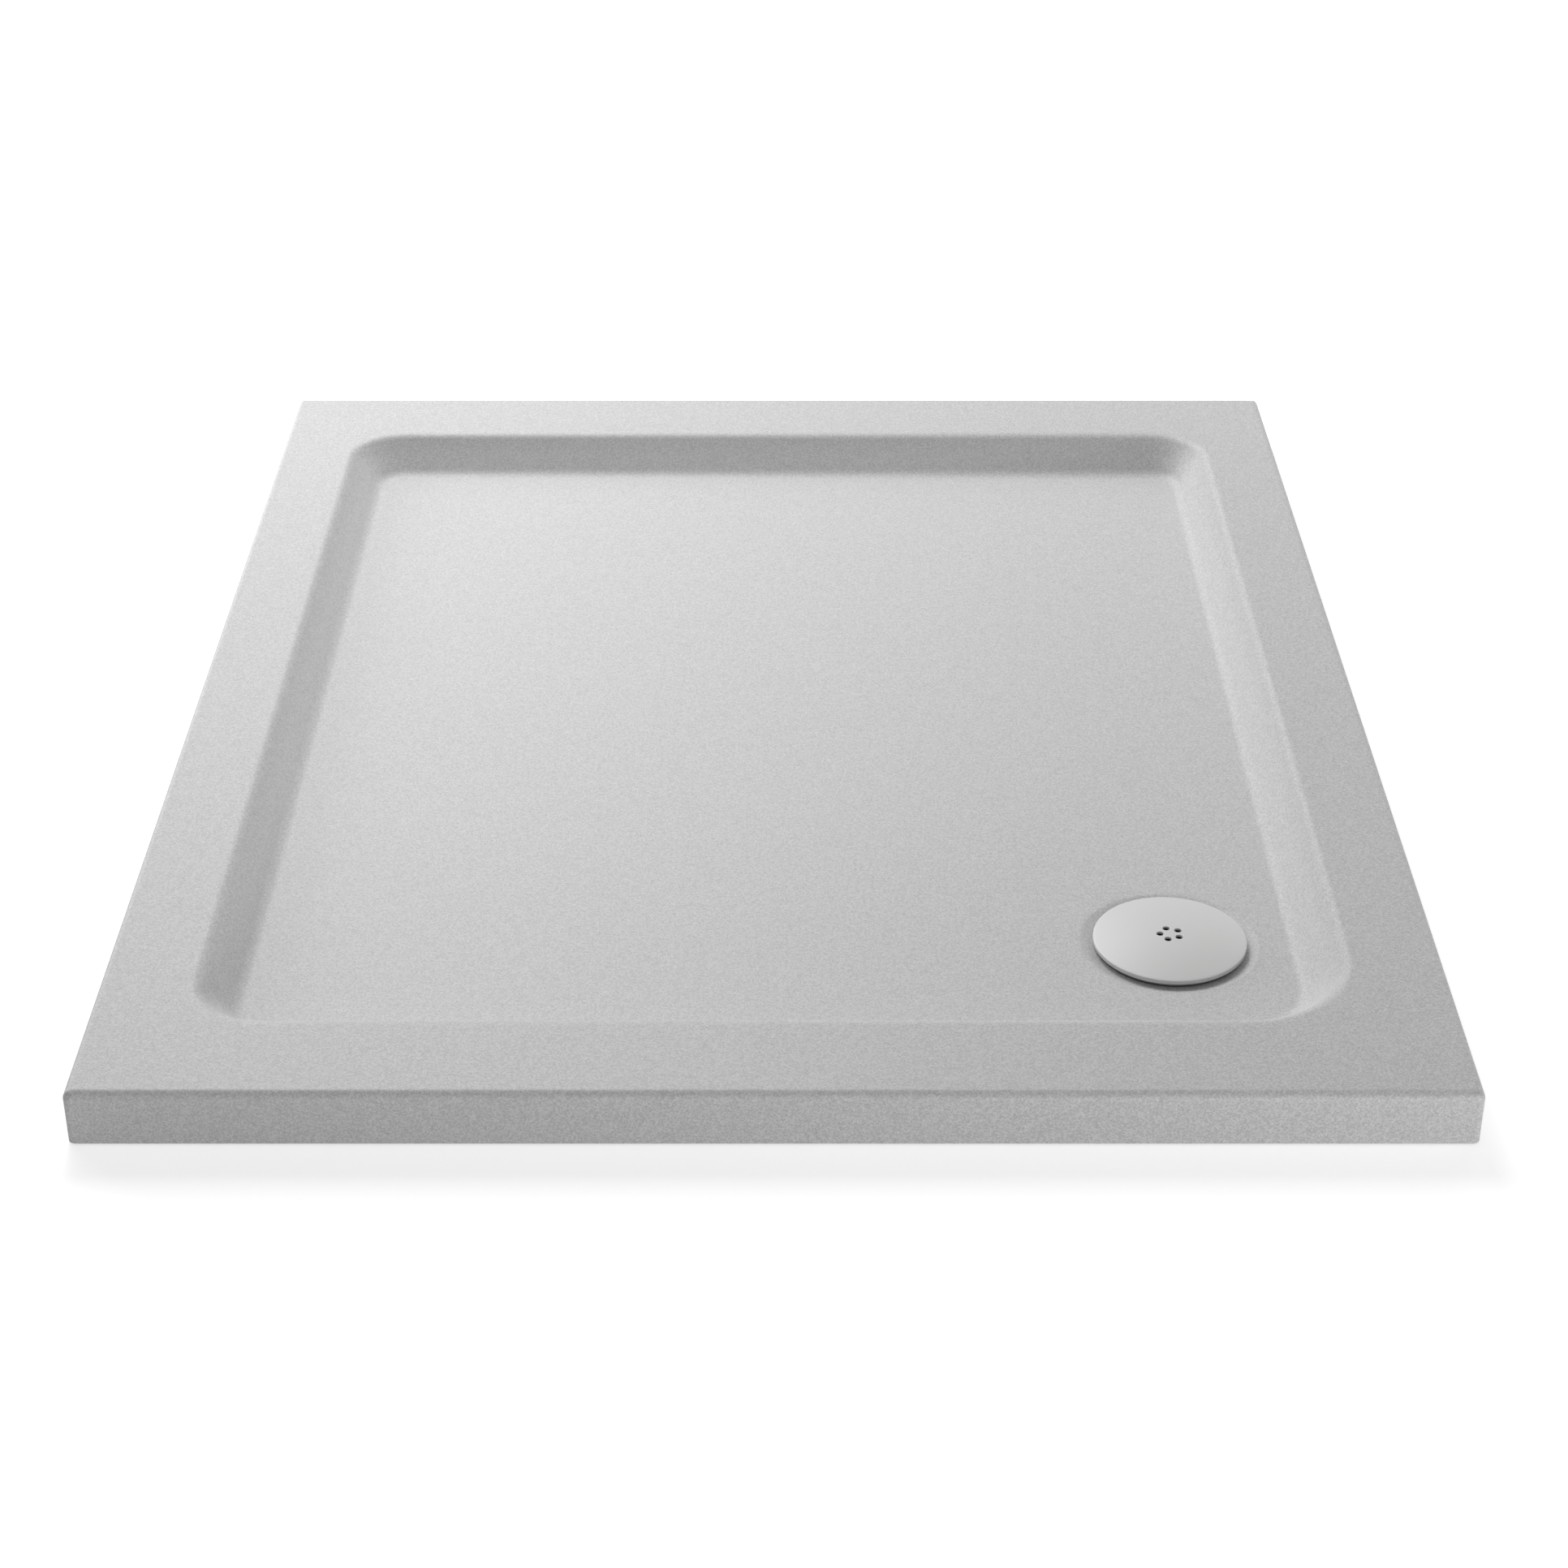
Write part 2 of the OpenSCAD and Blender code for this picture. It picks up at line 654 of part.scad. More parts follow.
// The tapered rubber seal, pressed against the mouth of the socket
module outlet_seal() {
    color("dimgray") at_outlet(socket_mouth) rotate_extrude() polygon([
        [pipe_gap_r, 0],
        [socket_out_r - socket_t / 2, 0],
        [socket_out_r, pipe_seal_len / 2],
        [socket_out_r, pipe_seal_len],
        [pipe_gap_r, pipe_seal_len]]);
}

tray_sheet();
resin_core();
waste_cover();
top_flange();
flange_seal();
flange_screws();
lower_seal();
trap_body();
dip_tube();
dip_tube_seal();
hair_strainer();
outlet_socket();
outlet_nut();
outlet_washer();
outlet_seal();
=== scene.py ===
"""A slim shower tray with its corner waste and trap, finished for show in a plain pale studio.

Metres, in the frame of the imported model: X to the right, Y to the back, Z up from the underside.
"""

import json
from math import asin, atan, atan2, cos, dist, hypot, pi, radians, remainder, sin, sqrt, tan

import bmesh
import bpy
from bpy.props import FloatProperty, FloatVectorProperty, IntProperty, PointerProperty
from bpy.types import Operator, Panel, PropertyGroup
from mathutils import Matrix, Vector

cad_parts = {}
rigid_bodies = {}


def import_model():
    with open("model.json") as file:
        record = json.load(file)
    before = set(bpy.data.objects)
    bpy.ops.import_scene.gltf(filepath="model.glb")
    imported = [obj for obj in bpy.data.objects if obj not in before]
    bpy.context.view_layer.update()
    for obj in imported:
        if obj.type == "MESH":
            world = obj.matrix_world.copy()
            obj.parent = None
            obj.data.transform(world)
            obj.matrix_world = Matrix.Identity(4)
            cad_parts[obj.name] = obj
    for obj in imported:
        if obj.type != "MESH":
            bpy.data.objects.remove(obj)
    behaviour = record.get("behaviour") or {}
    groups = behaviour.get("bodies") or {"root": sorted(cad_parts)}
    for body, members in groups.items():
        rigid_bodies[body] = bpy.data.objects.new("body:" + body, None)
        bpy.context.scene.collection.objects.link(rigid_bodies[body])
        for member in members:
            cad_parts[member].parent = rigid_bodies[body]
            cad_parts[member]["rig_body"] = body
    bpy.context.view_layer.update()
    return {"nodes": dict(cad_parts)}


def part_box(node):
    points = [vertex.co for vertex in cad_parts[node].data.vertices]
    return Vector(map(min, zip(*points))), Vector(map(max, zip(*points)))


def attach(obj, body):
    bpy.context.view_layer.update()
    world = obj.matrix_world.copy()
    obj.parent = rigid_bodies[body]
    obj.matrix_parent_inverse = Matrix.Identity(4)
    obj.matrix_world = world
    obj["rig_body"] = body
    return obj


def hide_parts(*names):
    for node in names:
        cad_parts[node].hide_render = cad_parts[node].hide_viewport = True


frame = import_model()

bl_info = {
    "name": "Shower Tray",
    "version": (1, 0, 0),
    "blender": (4, 5, 0),
    "location": "3D View > Sidebar > Shower Tray",
    "description": "Builds a slim shower tray with its waste cover and trap",
    "category": "Add Mesh",
}

SHEET_LOW, SHEET_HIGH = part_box("tray_sheet")
COVER_LOW, COVER_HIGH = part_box("waste_cover")
FLANGE_LOW, FLANGE_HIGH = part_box("top_flange")
SCREWS_LOW, SCREWS_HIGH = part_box("flange_screws")
TUBE_LOW, TUBE_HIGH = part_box("dip_tube")
STRAINER_LOW, STRAINER_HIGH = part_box("hair_strainer")
TRAP_LOW, TRAP_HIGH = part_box("trap_body")
SOCKET_LOW, SOCKET_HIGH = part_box("outlet_socket")
NUT_LOW, NUT_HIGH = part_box("outlet_nut")
WASTE_X = (COVER_LOW.x + COVER_HIGH.x) / 2
WASTE_Y = (COVER_LOW.y + COVER_HIGH.y) / 2
OUTLET_Z = (SOCKET_LOW.z + SOCKET_HIGH.z) / 2
FULL_TURN = 2 * pi
QUARTER_TURN = pi / 2

# Points round a turned body, the cover, the nut, a hole or boss, a screw, a strainer hole and a leg.
ROUND_STEPS = 128
COVER_STEPS = 192
NUT_STEPS = 288
HOLE_STEPS = 48
SCREW_STEPS = 32
STRAINER_STEPS = 24
LEG_STEPS = 12

# Radii of rounded edges, from one that is only broken to a deep sweep.
BROKEN = 0.0002
CRISP = 0.0003
PLAIN = 0.0004
EVEN = 0.0005
EASED = 0.0006
GENTLE = 0.0007
SMOOTH = 0.0008
ROUND = 0.0009
SOFT = 0.001
FULL = 0.0012
WIDE = 0.0015
BROAD = 0.002
SWEPT = 0.003
DEEP = 0.004


def number(name, description, default, **kind):
    """A number that a user can change."""
    return FloatProperty(name=name, description=description, default=default, **kind)


def length(name, description, default):
    """A length in metres."""
    return number(name, description, default, unit="LENGTH")


def angle(name, description, degrees):
    """An angle, given here in degrees."""
    return number(name, description, radians(degrees), unit="ROTATION")


def how_many(name, description, default):
    """A count of like things, three or more."""
    return IntProperty(name=name, description=description, default=default, min=3)


def colour(name, piece, default):
    """The colour of a piece."""
    return FloatVectorProperty(name=name, description="Colour of the " + piece, default=default, size=3,
                               subtype="COLOR", min=0, max=1)


class TrayBasinSizes(PropertyGroup):
    """Sizes of the formed sheet."""

    corner_r: length("Corner radius", "Upright outer corners", 0.005)
    edge_r: length("Edge radius", "Rounded top edge", 0.006)
    side_rim: length("Side rim", "Flat rim at the left and right", 0.06)
    end_rim: length("End rim", "Flat rim at the front and back", 0.076)
    side_run: length("Side run", "Side walls, from lip to floor", 0.034)
    end_run: length("End run", "End walls, from lip to floor", 0.044)
    lip_r: length("Lip radius", "Where the rim turns down", 0.01)
    foot_r: length("Foot radius", "Fillet at the foot of the walls", 0.013)
    lip_corner_r: length("Basin corners", "Plan radius of the lip in three corners", 0.052)
    waste_corner_r: length("Waste corner", "Plan radius of the lip there", 0.082)
    dish_z: length("Dish level", "Floor at the dish's edge", 0.009)
    fall: number("Fall", "Fall to the waste, as a share of the distance", 0.004)
    dish_depth: length("Dish depth", "Dish round the waste", 0.002)
    dish_r: length("Dish radius", "Edge of the dish", 0.063)
    seat_r: length("Seat radius", "Flat seat in the dish", 0.054)
    hole_r: length("Hole radius", "Waste hole", 0.045)
    sheet_t: length("Sheet", "Thickness of the sheet", 0.002)


class TrayCoverSizes(PropertyGroup):
    """Sizes of the domed waste cover."""

    edge_h: length("Edge height", "Upright edge of the cover", 0.003)
    wall: length("Wall", "Wall of the cover", 0.0016)
    rise: length("Rise", "Dome above its edge", 0.004)
    edge_round: length("Edge radius", "Rounding of the edges", 0.0007)
    drain_count: how_many("Drain holes", "Holes in the crown", 5)
    drain_r: length("Drain radius", "Each drain hole", 0.0025)
    drain_ring_r: length("Drain ring", "Radius of the holes' ring", 0.0071)
    leg_count: how_many("Legs", "Legs under the cover", 4)
    leg_angle: angle("Leg angle", "Angle that one leg takes up", 26)
    leg_r: length("Leg radius", "Outside of the legs in the collar", 0.0262)
    leg_t: length("Leg wall", "Wall of a leg", 0.002)


class TrayWasteSizes(PropertyGroup):
    """Sizes of the waste flange, its screws, the dip tube and the strainer."""

    flange_t: length("Flange", "Thickness at its edge", 0.0012)
    skirt_r: length("Skirt radius", "Outside of the skirt in the hole", 0.044)
    wall: length("Wall", "Wall of the skirt and the well", 0.0015)
    shelf_drop: length("Shelf drop", "Screw shelf below the flange", 0.0045)
    shelf_t: length("Shelf", "Thickness of the shelf", 0.002)
    well_r: length("Well radius", "Inside of the well", 0.0303)
    screw_ring_r: length("Screw ring", "Radius of the screws' ring", 0.038)
    screw_r: length("Screw radius", "Outside of the thread", 0.0024)
    screw_hole_r: length("Screw hole", "Each hole in the shelf", 0.00275)
    screw_play: length("Screw play", "Gap round a screw in its boss", 0.0001)
    head_r: length("Head radius", "Screw head", 0.0042)
    head_h: length("Head height", "Screw head", 0.0028)
    pitch: length("Pitch", "Screw thread", 0.0008)
    collar_r: length("Collar radius", "Outside of the dip tube's collar", 0.03)
    collar_t: length("Collar wall", "Wall of the collar", 0.0035)
    collar_rim_t: length("Collar rim", "Thickness of its rim", 0.0015)
    collar_len: length("Collar length", "Collar below the shelf", 0.0155)
    tube_t: length("Tube wall", "Wall of the dip tube", 0.002)
    funnel_w: length("Funnel", "Width from the ledge in to the tube", 0.0045)
    groove_r: length("Groove radius", "Bottom of the seal's groove", 0.0275)
    groove_h: length("Groove height", "Half of its height", 0.0014)
    groove_drop: length("Groove drop", "Groove below the shelf", 0.008)
    plate_t: length("Strainer", "Thickness of the plate", 0.0015)
    knob_r: length("Knob radius", "Finger knob of the strainer", 0.003)
    knob_h: length("Knob height", "Upright side of the knob", 0.0022)
    strainer_hole_r: length("Strainer hole", "Each hole in the plate", 0.0022)


class TrayTrapSizes(PropertyGroup):
    """Sizes of the trap and its outlet."""

    top_z: length("Top", "Level of the rim", -0.002)
    inner_r: length("Inner radius", "Inside of the outer wall", 0.046)
    wall: length("Wall", "Wall of the trap", 0.0025)
    rim_t: length("Rim", "Thickness of the rim", 0.003)
    channel_z: length("Channel", "Level of the channel's floor", -0.056)
    weir_z: length("Weir", "Level of the cup's top", -0.03)
    cup_r: length("Cup radius", "Inside of the water cup", 0.031)
    boss_r: length("Boss radius", "Outside of a screw boss", 0.005)
    boss_low: length("Boss", "Level of the bosses' ends", -0.023)
    rib_t: length("Rib", "Thickness of a boss's rib", 0.004)
    passage_r: length("Passage radius", "Water passage to the socket", 0.019)
    socket_r: length("Socket radius", "Inside of the socket", 0.0216)
    stop_t: length("Stop", "Thickness of the socket's stop", 0.008)
    nut_t: length("Nut wall", "Wall of the nut", 0.0035)
    nut_gap: length("Nut gap", "Gap round the pipe", 0.0003)
    rib_count: how_many("Nut ribs", "Finger ribs on the nut", 12)
    rib_r: length("Nut rib", "Radius of a finger rib", 0.0014)


class TrayFinishes(PropertyGroup):
    """Colours of the pieces, the sheet's grain, and the painted light that lightens its basin."""

    sheet_colour: colour("Tray", "formed sheet", (0.545, 0.545, 0.545))
    cover_colour: colour("Cover", "waste cover", (0.72, 0.72, 0.715))
    core_colour: colour("Core", "cast core", (0.42, 0.41, 0.39))
    plastic_colour: colour("Plastic", "trap and its outlet", (0.78, 0.78, 0.76))
    # Dark plastic, made dark partly to paint the shade in the drain holes and in the gap under the cover's
    # edge.
    dark_plastic_and_shade_colour: colour("Dark plastic", "flange and the insert", (0.15, 0.15, 0.15))
    rubber_colour: colour("Rubber", "seals", (0.03, 0.03, 0.03))
    steel_colour: colour("Steel", "screws", (0.6, 0.6, 0.6))
    washer_colour: colour("Washer", "slip washer", (0.65, 0.65, 0.62))
    grain: length("Grain", "Size of the sheet's speckle", 0.0009)
    speckle: number("Speckle", "Strength of the speckle", 0.39)
    dust: number("Dust", "Strength of the finest grain", 0.08)
    patches: number("Patches", "Strength of the soft patches", 0.01)
    # Painted light: the sheet's basin is painted lighter than its rim, standing in for stronger light on its
    # floor, fading in below the rim.
    painted_basin_light: number("Basin lift", "How much lighter the basin is", 0.09)
    painted_light_drop: length("Lift drop", "Rim to the start of the lighter tone", 0.004)
    painted_light_fade: length("Lift fade", "Depth over which it comes in", 0.012)


class TrayStudio(PropertyGroup):
    """The camera, the even light and the floor."""

    lens: number("Lens", "Focal length in millimetres", 70.14)
    eye: FloatVectorProperty(name="Eye", description="Place of the camera", subtype="TRANSLATION", size=3,
                             default=(0.0087, -2.110, 1.186))
    tilt: angle("Tilt", "Angle of the camera from straight down", 59.5)
    shift: number("Shift", "Sideways shift of the picture", -0.0024)
    sky: number("Sky", "Strength of the even light", 0.32)
    floor_colour: colour("Floor", "studio floor", (0.8, 0.8, 0.8))
    floor_glow: number("Floor glow", "Lifts the seen floor to white", 0.6)


class Shade:
    """A socket of a shader tree, for sums, products and comparisons."""

    def __init__(self, tree, socket):
        self.tree = tree
        self.socket = socket

    def maths(self, operation, first, second):
        return self.tree.node("Math", {0: first, 1: second}, operation=operation)

    def __add__(self, other):
        return self.maths("ADD", self, other)

    def __sub__(self, other):
        return self.maths("SUBTRACT", self, other)

    def __rsub__(self, other):
        return self.maths("SUBTRACT", other, self)

    def __mul__(self, other):
        return self.maths("MULTIPLY", self, other)

    def __lt__(self, other):
        return self.maths("LESS_THAN", self, other)

    def __gt__(self, other):
        return self.maths("GREATER_THAN", self, other)

    __radd__ = __add__
    __rmul__ = __mul__


class ShaderTree:
    """A shader tree, for a material or the world."""

    def __init__(self, holder):
        holder.use_nodes = True
        self.tree = holder.node_tree
        self.tree.nodes.clear()

    def node(self, kind, inputs=None, output=0, **settings):
        """Adds a node, its settings before its sockets, and returns one of its outputs."""
        node = self.tree.nodes.new("ShaderNode" + kind)
        for name, value in settings.items():
            setattr(node, name, value)
        for name, value in (inputs or {}).items():
            if isinstance(value, Shade):
                self.tree.links.new(value.socket, node.inputs[name])
            else:
                node.inputs[name].default_value = value
        return Shade(self, node.outputs[output]) if node.outputs else None

    def seen(self):
        """1 for what the camera, a reflection or glass sees, and 0 for other light."""
        rays = [self.node("LightPath", output=f"Is {name} Ray")
                for name in ("Camera", "Glossy", "Transmission")]
        return rays[0] + rays[1] + rays[2]

    def mixed(self, share, first, second):
        """Two shaders mixed by a share from 0 to 1."""
        return self.node("MixShader", {0: share, 1: first, 2: second})


class Finish(ShaderTree):
    """A procedural material in the making."""

    side_band = 0.02        # a band along the outer sides keeps the rim's tone, without the painted basin light

    def __init__(self, name):
        self.material = bpy.data.materials.new(name)
        super().__init__(self.material)
        self.place = self.node("TexCoord", output="Object")

    def noise(self, size, detail=2.0, roughness=0.5, stretch=(1, 1, 1)):
        """Soft noise from -0.5 to 0.5, with features of that size."""
        place = self.node("VectorMath", {0: self.place, 1: stretch}, operation="MULTIPLY")
        sockets = {"Vector": place, "Scale": 1 / size, "Detail": detail, "Roughness": roughness}
        return self.node("TexNoise", sockets, "Fac") - 0.5

    def grains(self, size):
        """A random number from -0.5 to 0.5 for each grain of that size."""
        cells = self.node("TexVoronoi", {"Vector": self.place, "Scale": 1 / size}, "Color")
        return self.node("SeparateColor", {0: cells}, "Red") - 0.5

    def below(self, level, fade):
        """Mask of the painted basin light: 0 above a level, rising to 1 at that fade below it. A band along
        the outer sides keeps 0.
        """
        height = self.node("SeparateXYZ", {0: self.place}, "Z")
        away = self.node("VectorMath", {0: self.place}, operation="ABSOLUTE")
        across, along = [self.node("SeparateXYZ", {0: away}, axis) for axis in "XY"]
        low = self.node("MapRange", {"Value": height, "From Min": level, "From Max": level - fade})
        return low * (across < SHEET_HIGH.x - self.side_band) * (along < SHEET_HIGH.y - self.side_band)

    def tint(self, base, lighter):
        """The base colour, lighter or darker by a shade around 0."""
        return self.node("VectorMath", {0: base, "Scale": 1 + lighter}, operation="SCALE")

    def bump(self, height, depth):
        """The normal of a surface whose height varies by that depth."""
        return self.node("Bump", {"Height": height, "Distance": depth})

    def end(self, surface):
        """Ends the tree in a surface and returns the material."""
        self.node("OutputMaterial", {"Surface": surface})
        return self.material

    def principled(self, **sockets):
        """Ends the tree in a Principled shader with these sockets."""
        named = {name.replace("_", " ").title(): value for name, value in sockets.items()}
        return self.end(self.node("BsdfPrincipled", named))


def sheet_finish(looks):
    """Matt grey sheet with a fine speckle and texture, and painted light that makes the basin a touch
    lighter.
    """
    finish = Finish("tray_sheet_grey")
    dust = finish.noise(looks.grain / 2)
    cloud = finish.noise(0.15)
    shade = looks.speckle * finish.grains(looks.grain) + looks.dust * dust + looks.patches * cloud
    # Painted light: the basin is painted lighter than the rim, as if it were lit more strongly.
    basin = finish.below(SHEET_HIGH.z - looks.painted_light_drop, looks.painted_light_fade)
    return finish.principled(
        base_color=finish.tint(looks.sheet_colour, shade + looks.painted_basin_light * basin),
        roughness=0.52 + 0.1 * dust,
        normal=finish.bump(finish.noise(looks.grain, 3.0, 0.6), 0.00006))


def moulded(name, base, patch, tone, rough, vary, grain, depth, patch_detail=2.0, detail=2.0):
    """A moulding: soft patches vary its tone and roughness, and a fine grain its relief."""
    finish = Finish(name)
    cloud = finish.noise(patch, patch_detail)
    return finish.principled(
        base_color=finish.tint(base, tone * cloud),
        roughness=rough + vary * cloud,
        normal=finish.bump(finish.noise(grain, detail), depth))


def cover_finish(looks):
    """Smooth satin plastic with a very fine moulded grain."""
    return moulded("cover_satin_grey", looks.cover_colour, patch=0.03, tone=0.02, rough=0.4, vary=0.05,
                   grain=0.0004, depth=0.000005)


def plastic_finish(looks):
    """Moulded white plastic, slightly satin."""
    return moulded("waste_white_plastic", looks.plastic_colour, patch=0.02, tone=0.02, rough=0.38, vary=0.08,
                   grain=0.0005, depth=0.00001, detail=3.0)


def dark_finish(looks):
    """Moulded dark grey plastic with a fine matt grain, its dark tone partly painted shade for the drain
    holes and under the cover.
    """
    return moulded("waste_dark_plastic", looks.dark_plastic_and_shade_colour, patch=0.02, tone=0.08, rough=0.5, vary=0.1,
                   grain=0.0004, depth=0.000015, detail=3.0)


def rubber_finish(looks):
    """Black rubber with a dusty bloom."""
    return moulded("seal_black_rubber", looks.rubber_colour, patch=0.004, tone=0.8, rough=0.7, vary=0.2,
                   grain=0.0006, depth=0.00003, patch_detail=4.0)


def core_finish(looks):
    """Cast resin full of stone grains, rough to the touch."""
    finish = Finish("core_cast_resin")
    coarse = finish.grains(0.004)
    fine = finish.grains(0.0014)
    stain = finish.noise(0.08, 4.0)
    return finish.principled(
        base_color=finish.tint(looks.core_colour, 0.3 * coarse + 0.2 * fine + 0.25 * stain),
        roughness=0.8 + 0.1 * fine,
        normal=finish.bump(finish.noise(0.003, 4.0, 0.6), 0.0003))


def washer_finish(looks):
    """Natural plastic of the slip washer, slightly waxy."""
    finish = Finish("washer_natural_plastic")
    cloud = finish.noise(0.008)
    return finish.principled(
        base_color=finish.tint(looks.washer_colour, 0.05 * cloud),
        roughness=0.5 + 0.1 * cloud,
        subsurface_weight=0.1)


def steel_finish(looks):
    """Stainless steel with fine turning marks."""
    finish = Finish("screw_stainless_steel")
    marks = finish.noise(0.0003, stretch=(1, 1, 12))
    return finish.principled(
        base_color=finish.tint(looks.steel_colour, 0.1 * marks),
        metallic=1.0,
        roughness=0.3 + 0.15 * marks,
        normal=finish.bump(marks, 0.000004))


def floor_finish(studio):
    """A pale floor that looks white and keeps the tray's shadow."""
    finish = Finish("studio_floor")
    tone = finish.tint(studio.floor_colour, 0.01 * finish.noise(0.4))
    paint = finish.node("BsdfDiffuse", {"Color": tone})
    glow = finish.node("Emission", {"Strength": studio.floor_glow})
    lifted = finish.node("AddShader", {0: paint, 1: glow})
    return finish.end(finish.mixed(finish.seen(), paint, lifted))


def added(name, data):
    """A new object in the scene that holds the data."""
    holder = bpy.data.objects.new(name, data)
    bpy.context.scene.collection.objects.link(holder)
    return holder


def solid(name, points, faces):
    """A closed body with its faces turned outward."""
    mesh = bpy.data.meshes.new(name)
    mesh.from_pydata(points, [], faces)
    shell = bmesh.new()
    shell.from_mesh(mesh)
    bmesh.ops.remove_doubles(shell, verts=shell.verts, dist=1e-7)
    bmesh.ops.recalc_face_normals(shell, faces=shell.faces)
    shell.to_mesh(mesh)
    shell.free()
    return added(name, mesh)


def combine(piece, tool, operation):
    """Joins the tool to the piece or cuts it away, and removes the tool."""
    change = piece.modifiers.new(operation.lower(), "BOOLEAN")
    change.operation = operation
    change.solver = "EXACT"
    change.object = tool
    bpy.context.view_layer.update()
    evaluated = piece.evaluated_get(bpy.context.evaluated_depsgraph_get())
    result = bpy.data.meshes.new_from_object(evaluated)
    piece.modifiers.clear()
    piece.data = result
    bpy.data.objects.remove(tool)


def join(piece, tool):
    combine(piece, tool, "UNION")


def cut(piece, tool):
    combine(piece, tool, "DIFFERENCE")


def present(piece, node, material, sharp=radians(35)):
    """Shades a piece, gives it its material and lets it stand for a node, on that node's body."""
    piece.data.shade_smooth()
    piece.data.set_sharp_from_angle(angle=sharp)
    piece.data.materials.clear()
    piece.data.materials.append(material)
    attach(piece, frame["nodes"][node]["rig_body"])
    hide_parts(node)


def dress(node, material):
    """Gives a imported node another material."""
    data = frame["nodes"][node].data
    data.materials.clear()
    data.materials.append(material)


def band(near, far, count):
    """The faces between two rings of points, given by the numbers of their first points."""
    return [(near + i, near + (i + 1) % count, far + (i + 1) % count, far + i) for i in range(count)]


def skin(rings, closed=False):
    """Points and faces of a skin over like rings, with end caps unless it is closed."""
    count = len(rings[0])
    points = [point for ring in rings for point in ring]
    faces = []
    for k in range(len(rings) if closed else len(rings) - 1):
        faces += band(k * count, (k + 1) % len(rings) * count, count)
    if not closed:
        faces += [tuple(range(count)), tuple(range(len(points) - count, len(points)))]
    return points, faces


def upright(x, y, z):
    """A point given about the waste's axis."""
    return (WASTE_X + x, WASTE_Y + y, z)


def sideways(x, y, z):
    """A point given about the outlet's axis, where z runs right from the waste."""
    return (WASTE_X + z, WASTE_Y + x, OUTLET_Z + y)


def beside(centre, place=upright):
    """Such a place, moved off its axis by a pair."""
    return lambda x, y, z: place(x + centre[0], y + centre[1], z)


def ring_places(count, radius, first=0.0):
    """Evenly spread places on a circle, as pairs. The radius may be a function of the angle."""
    turns = [first + FULL_TURN * k / count for k in range(count)]
    reach = radius if callable(radius) else lambda a: radius
    return [(reach(a) * cos(a), reach(a) * sin(a)) for a in turns]


def circle(radius, z, place=upright, steps=SCREW_STEPS):
    """A ring of points about an axis."""
    return [place(x, y, z) for x, y in ring_places(steps, radius)]


def lathe(section, place=upright, steps=ROUND_STEPS, start=0.0, turn=FULL_TURN):
    """Points and faces of a closed section turned about an axis."""
    whole = turn == FULL_TURN
    turns = [start + turn * k / steps for k in range(steps if whole else steps + 1)]
    rings = [[place(r * cos(a), r * sin(a), z) for r, z in section] for a in turns]
    return skin(rings, closed=whole)


def rounded(section, radius, steps=4, most=0.45, straight=radians(80)):
    """The section with rounded corners. A third number in a corner is its own radius."""
    corners = [Vector(corner[:2]) for corner in section]
    result = []
    for i, here in enumerate(corners):
        r = section[i][2] if len(section[i]) > 2 else radius
        before = corners[i - 1] - here
        after = corners[(i + 1) % len(corners)] - here
        half = before.angle(after) / 2
        r = min(r, most * min(before.length, after.length) * tan(half))
        if here.x == 0 or half > straight:
            result.append(tuple(here))
            continue
        reach = r / tan(half)
        first = here + before.normalized() * reach
        last = here + after.normalized() * reach
        middle = here + (before.normalized() + after.normalized()).normalized() * (r / sin(half))
        for share in arc_steps(steps):
            ray = (first - middle).lerp(last - middle, share)
            result.append(tuple(middle + ray.normalized() * r))
    return result


def turned(name, section, radius, **options):
    """A turned body with rounded corners."""
    return solid(name, *lathe(rounded(section, radius), **options))


def plug(radius, low, high, place=upright):
    """A plain round cutter on an axis."""
    return solid("cutter", *lathe([(0, low), (radius, low), (radius, high), (0, high)], place))


def round_cutter(radius, low, high, centre, flare=BROKEN, steps=HOLE_STEPS):
    """A cutter for a round hole that flares at both ends."""
    section = [(0, low - flare), (radius + 2 * flare, low - flare), (radius, low + flare),
               (radius, high - flare), (radius + 2 * flare, high + flare), (0, high + flare)]
    return solid("cutter", *lathe(section, beside(centre), steps))


def screw_places(waste):
    """Places of the four screws."""
    return ring_places(4, waste.screw_ring_r, QUARTER_TURN / 2)


def arc_steps(count):
    """Shares from 0 to 1 along an arc."""
    return [k / count for k in range(count + 1)]


def spread(start, end, centre, distance, count):
    """Places on a line at that distance from the waste, at even angles as seen from it."""
    first = atan((start - centre) / distance)
    last = atan((end - centre) / distance)
    turns = [first + (last - first) * k / (count + 1) for k in range(1, count + 1)]
    return [centre + distance * tan(turn) for turn in turns]


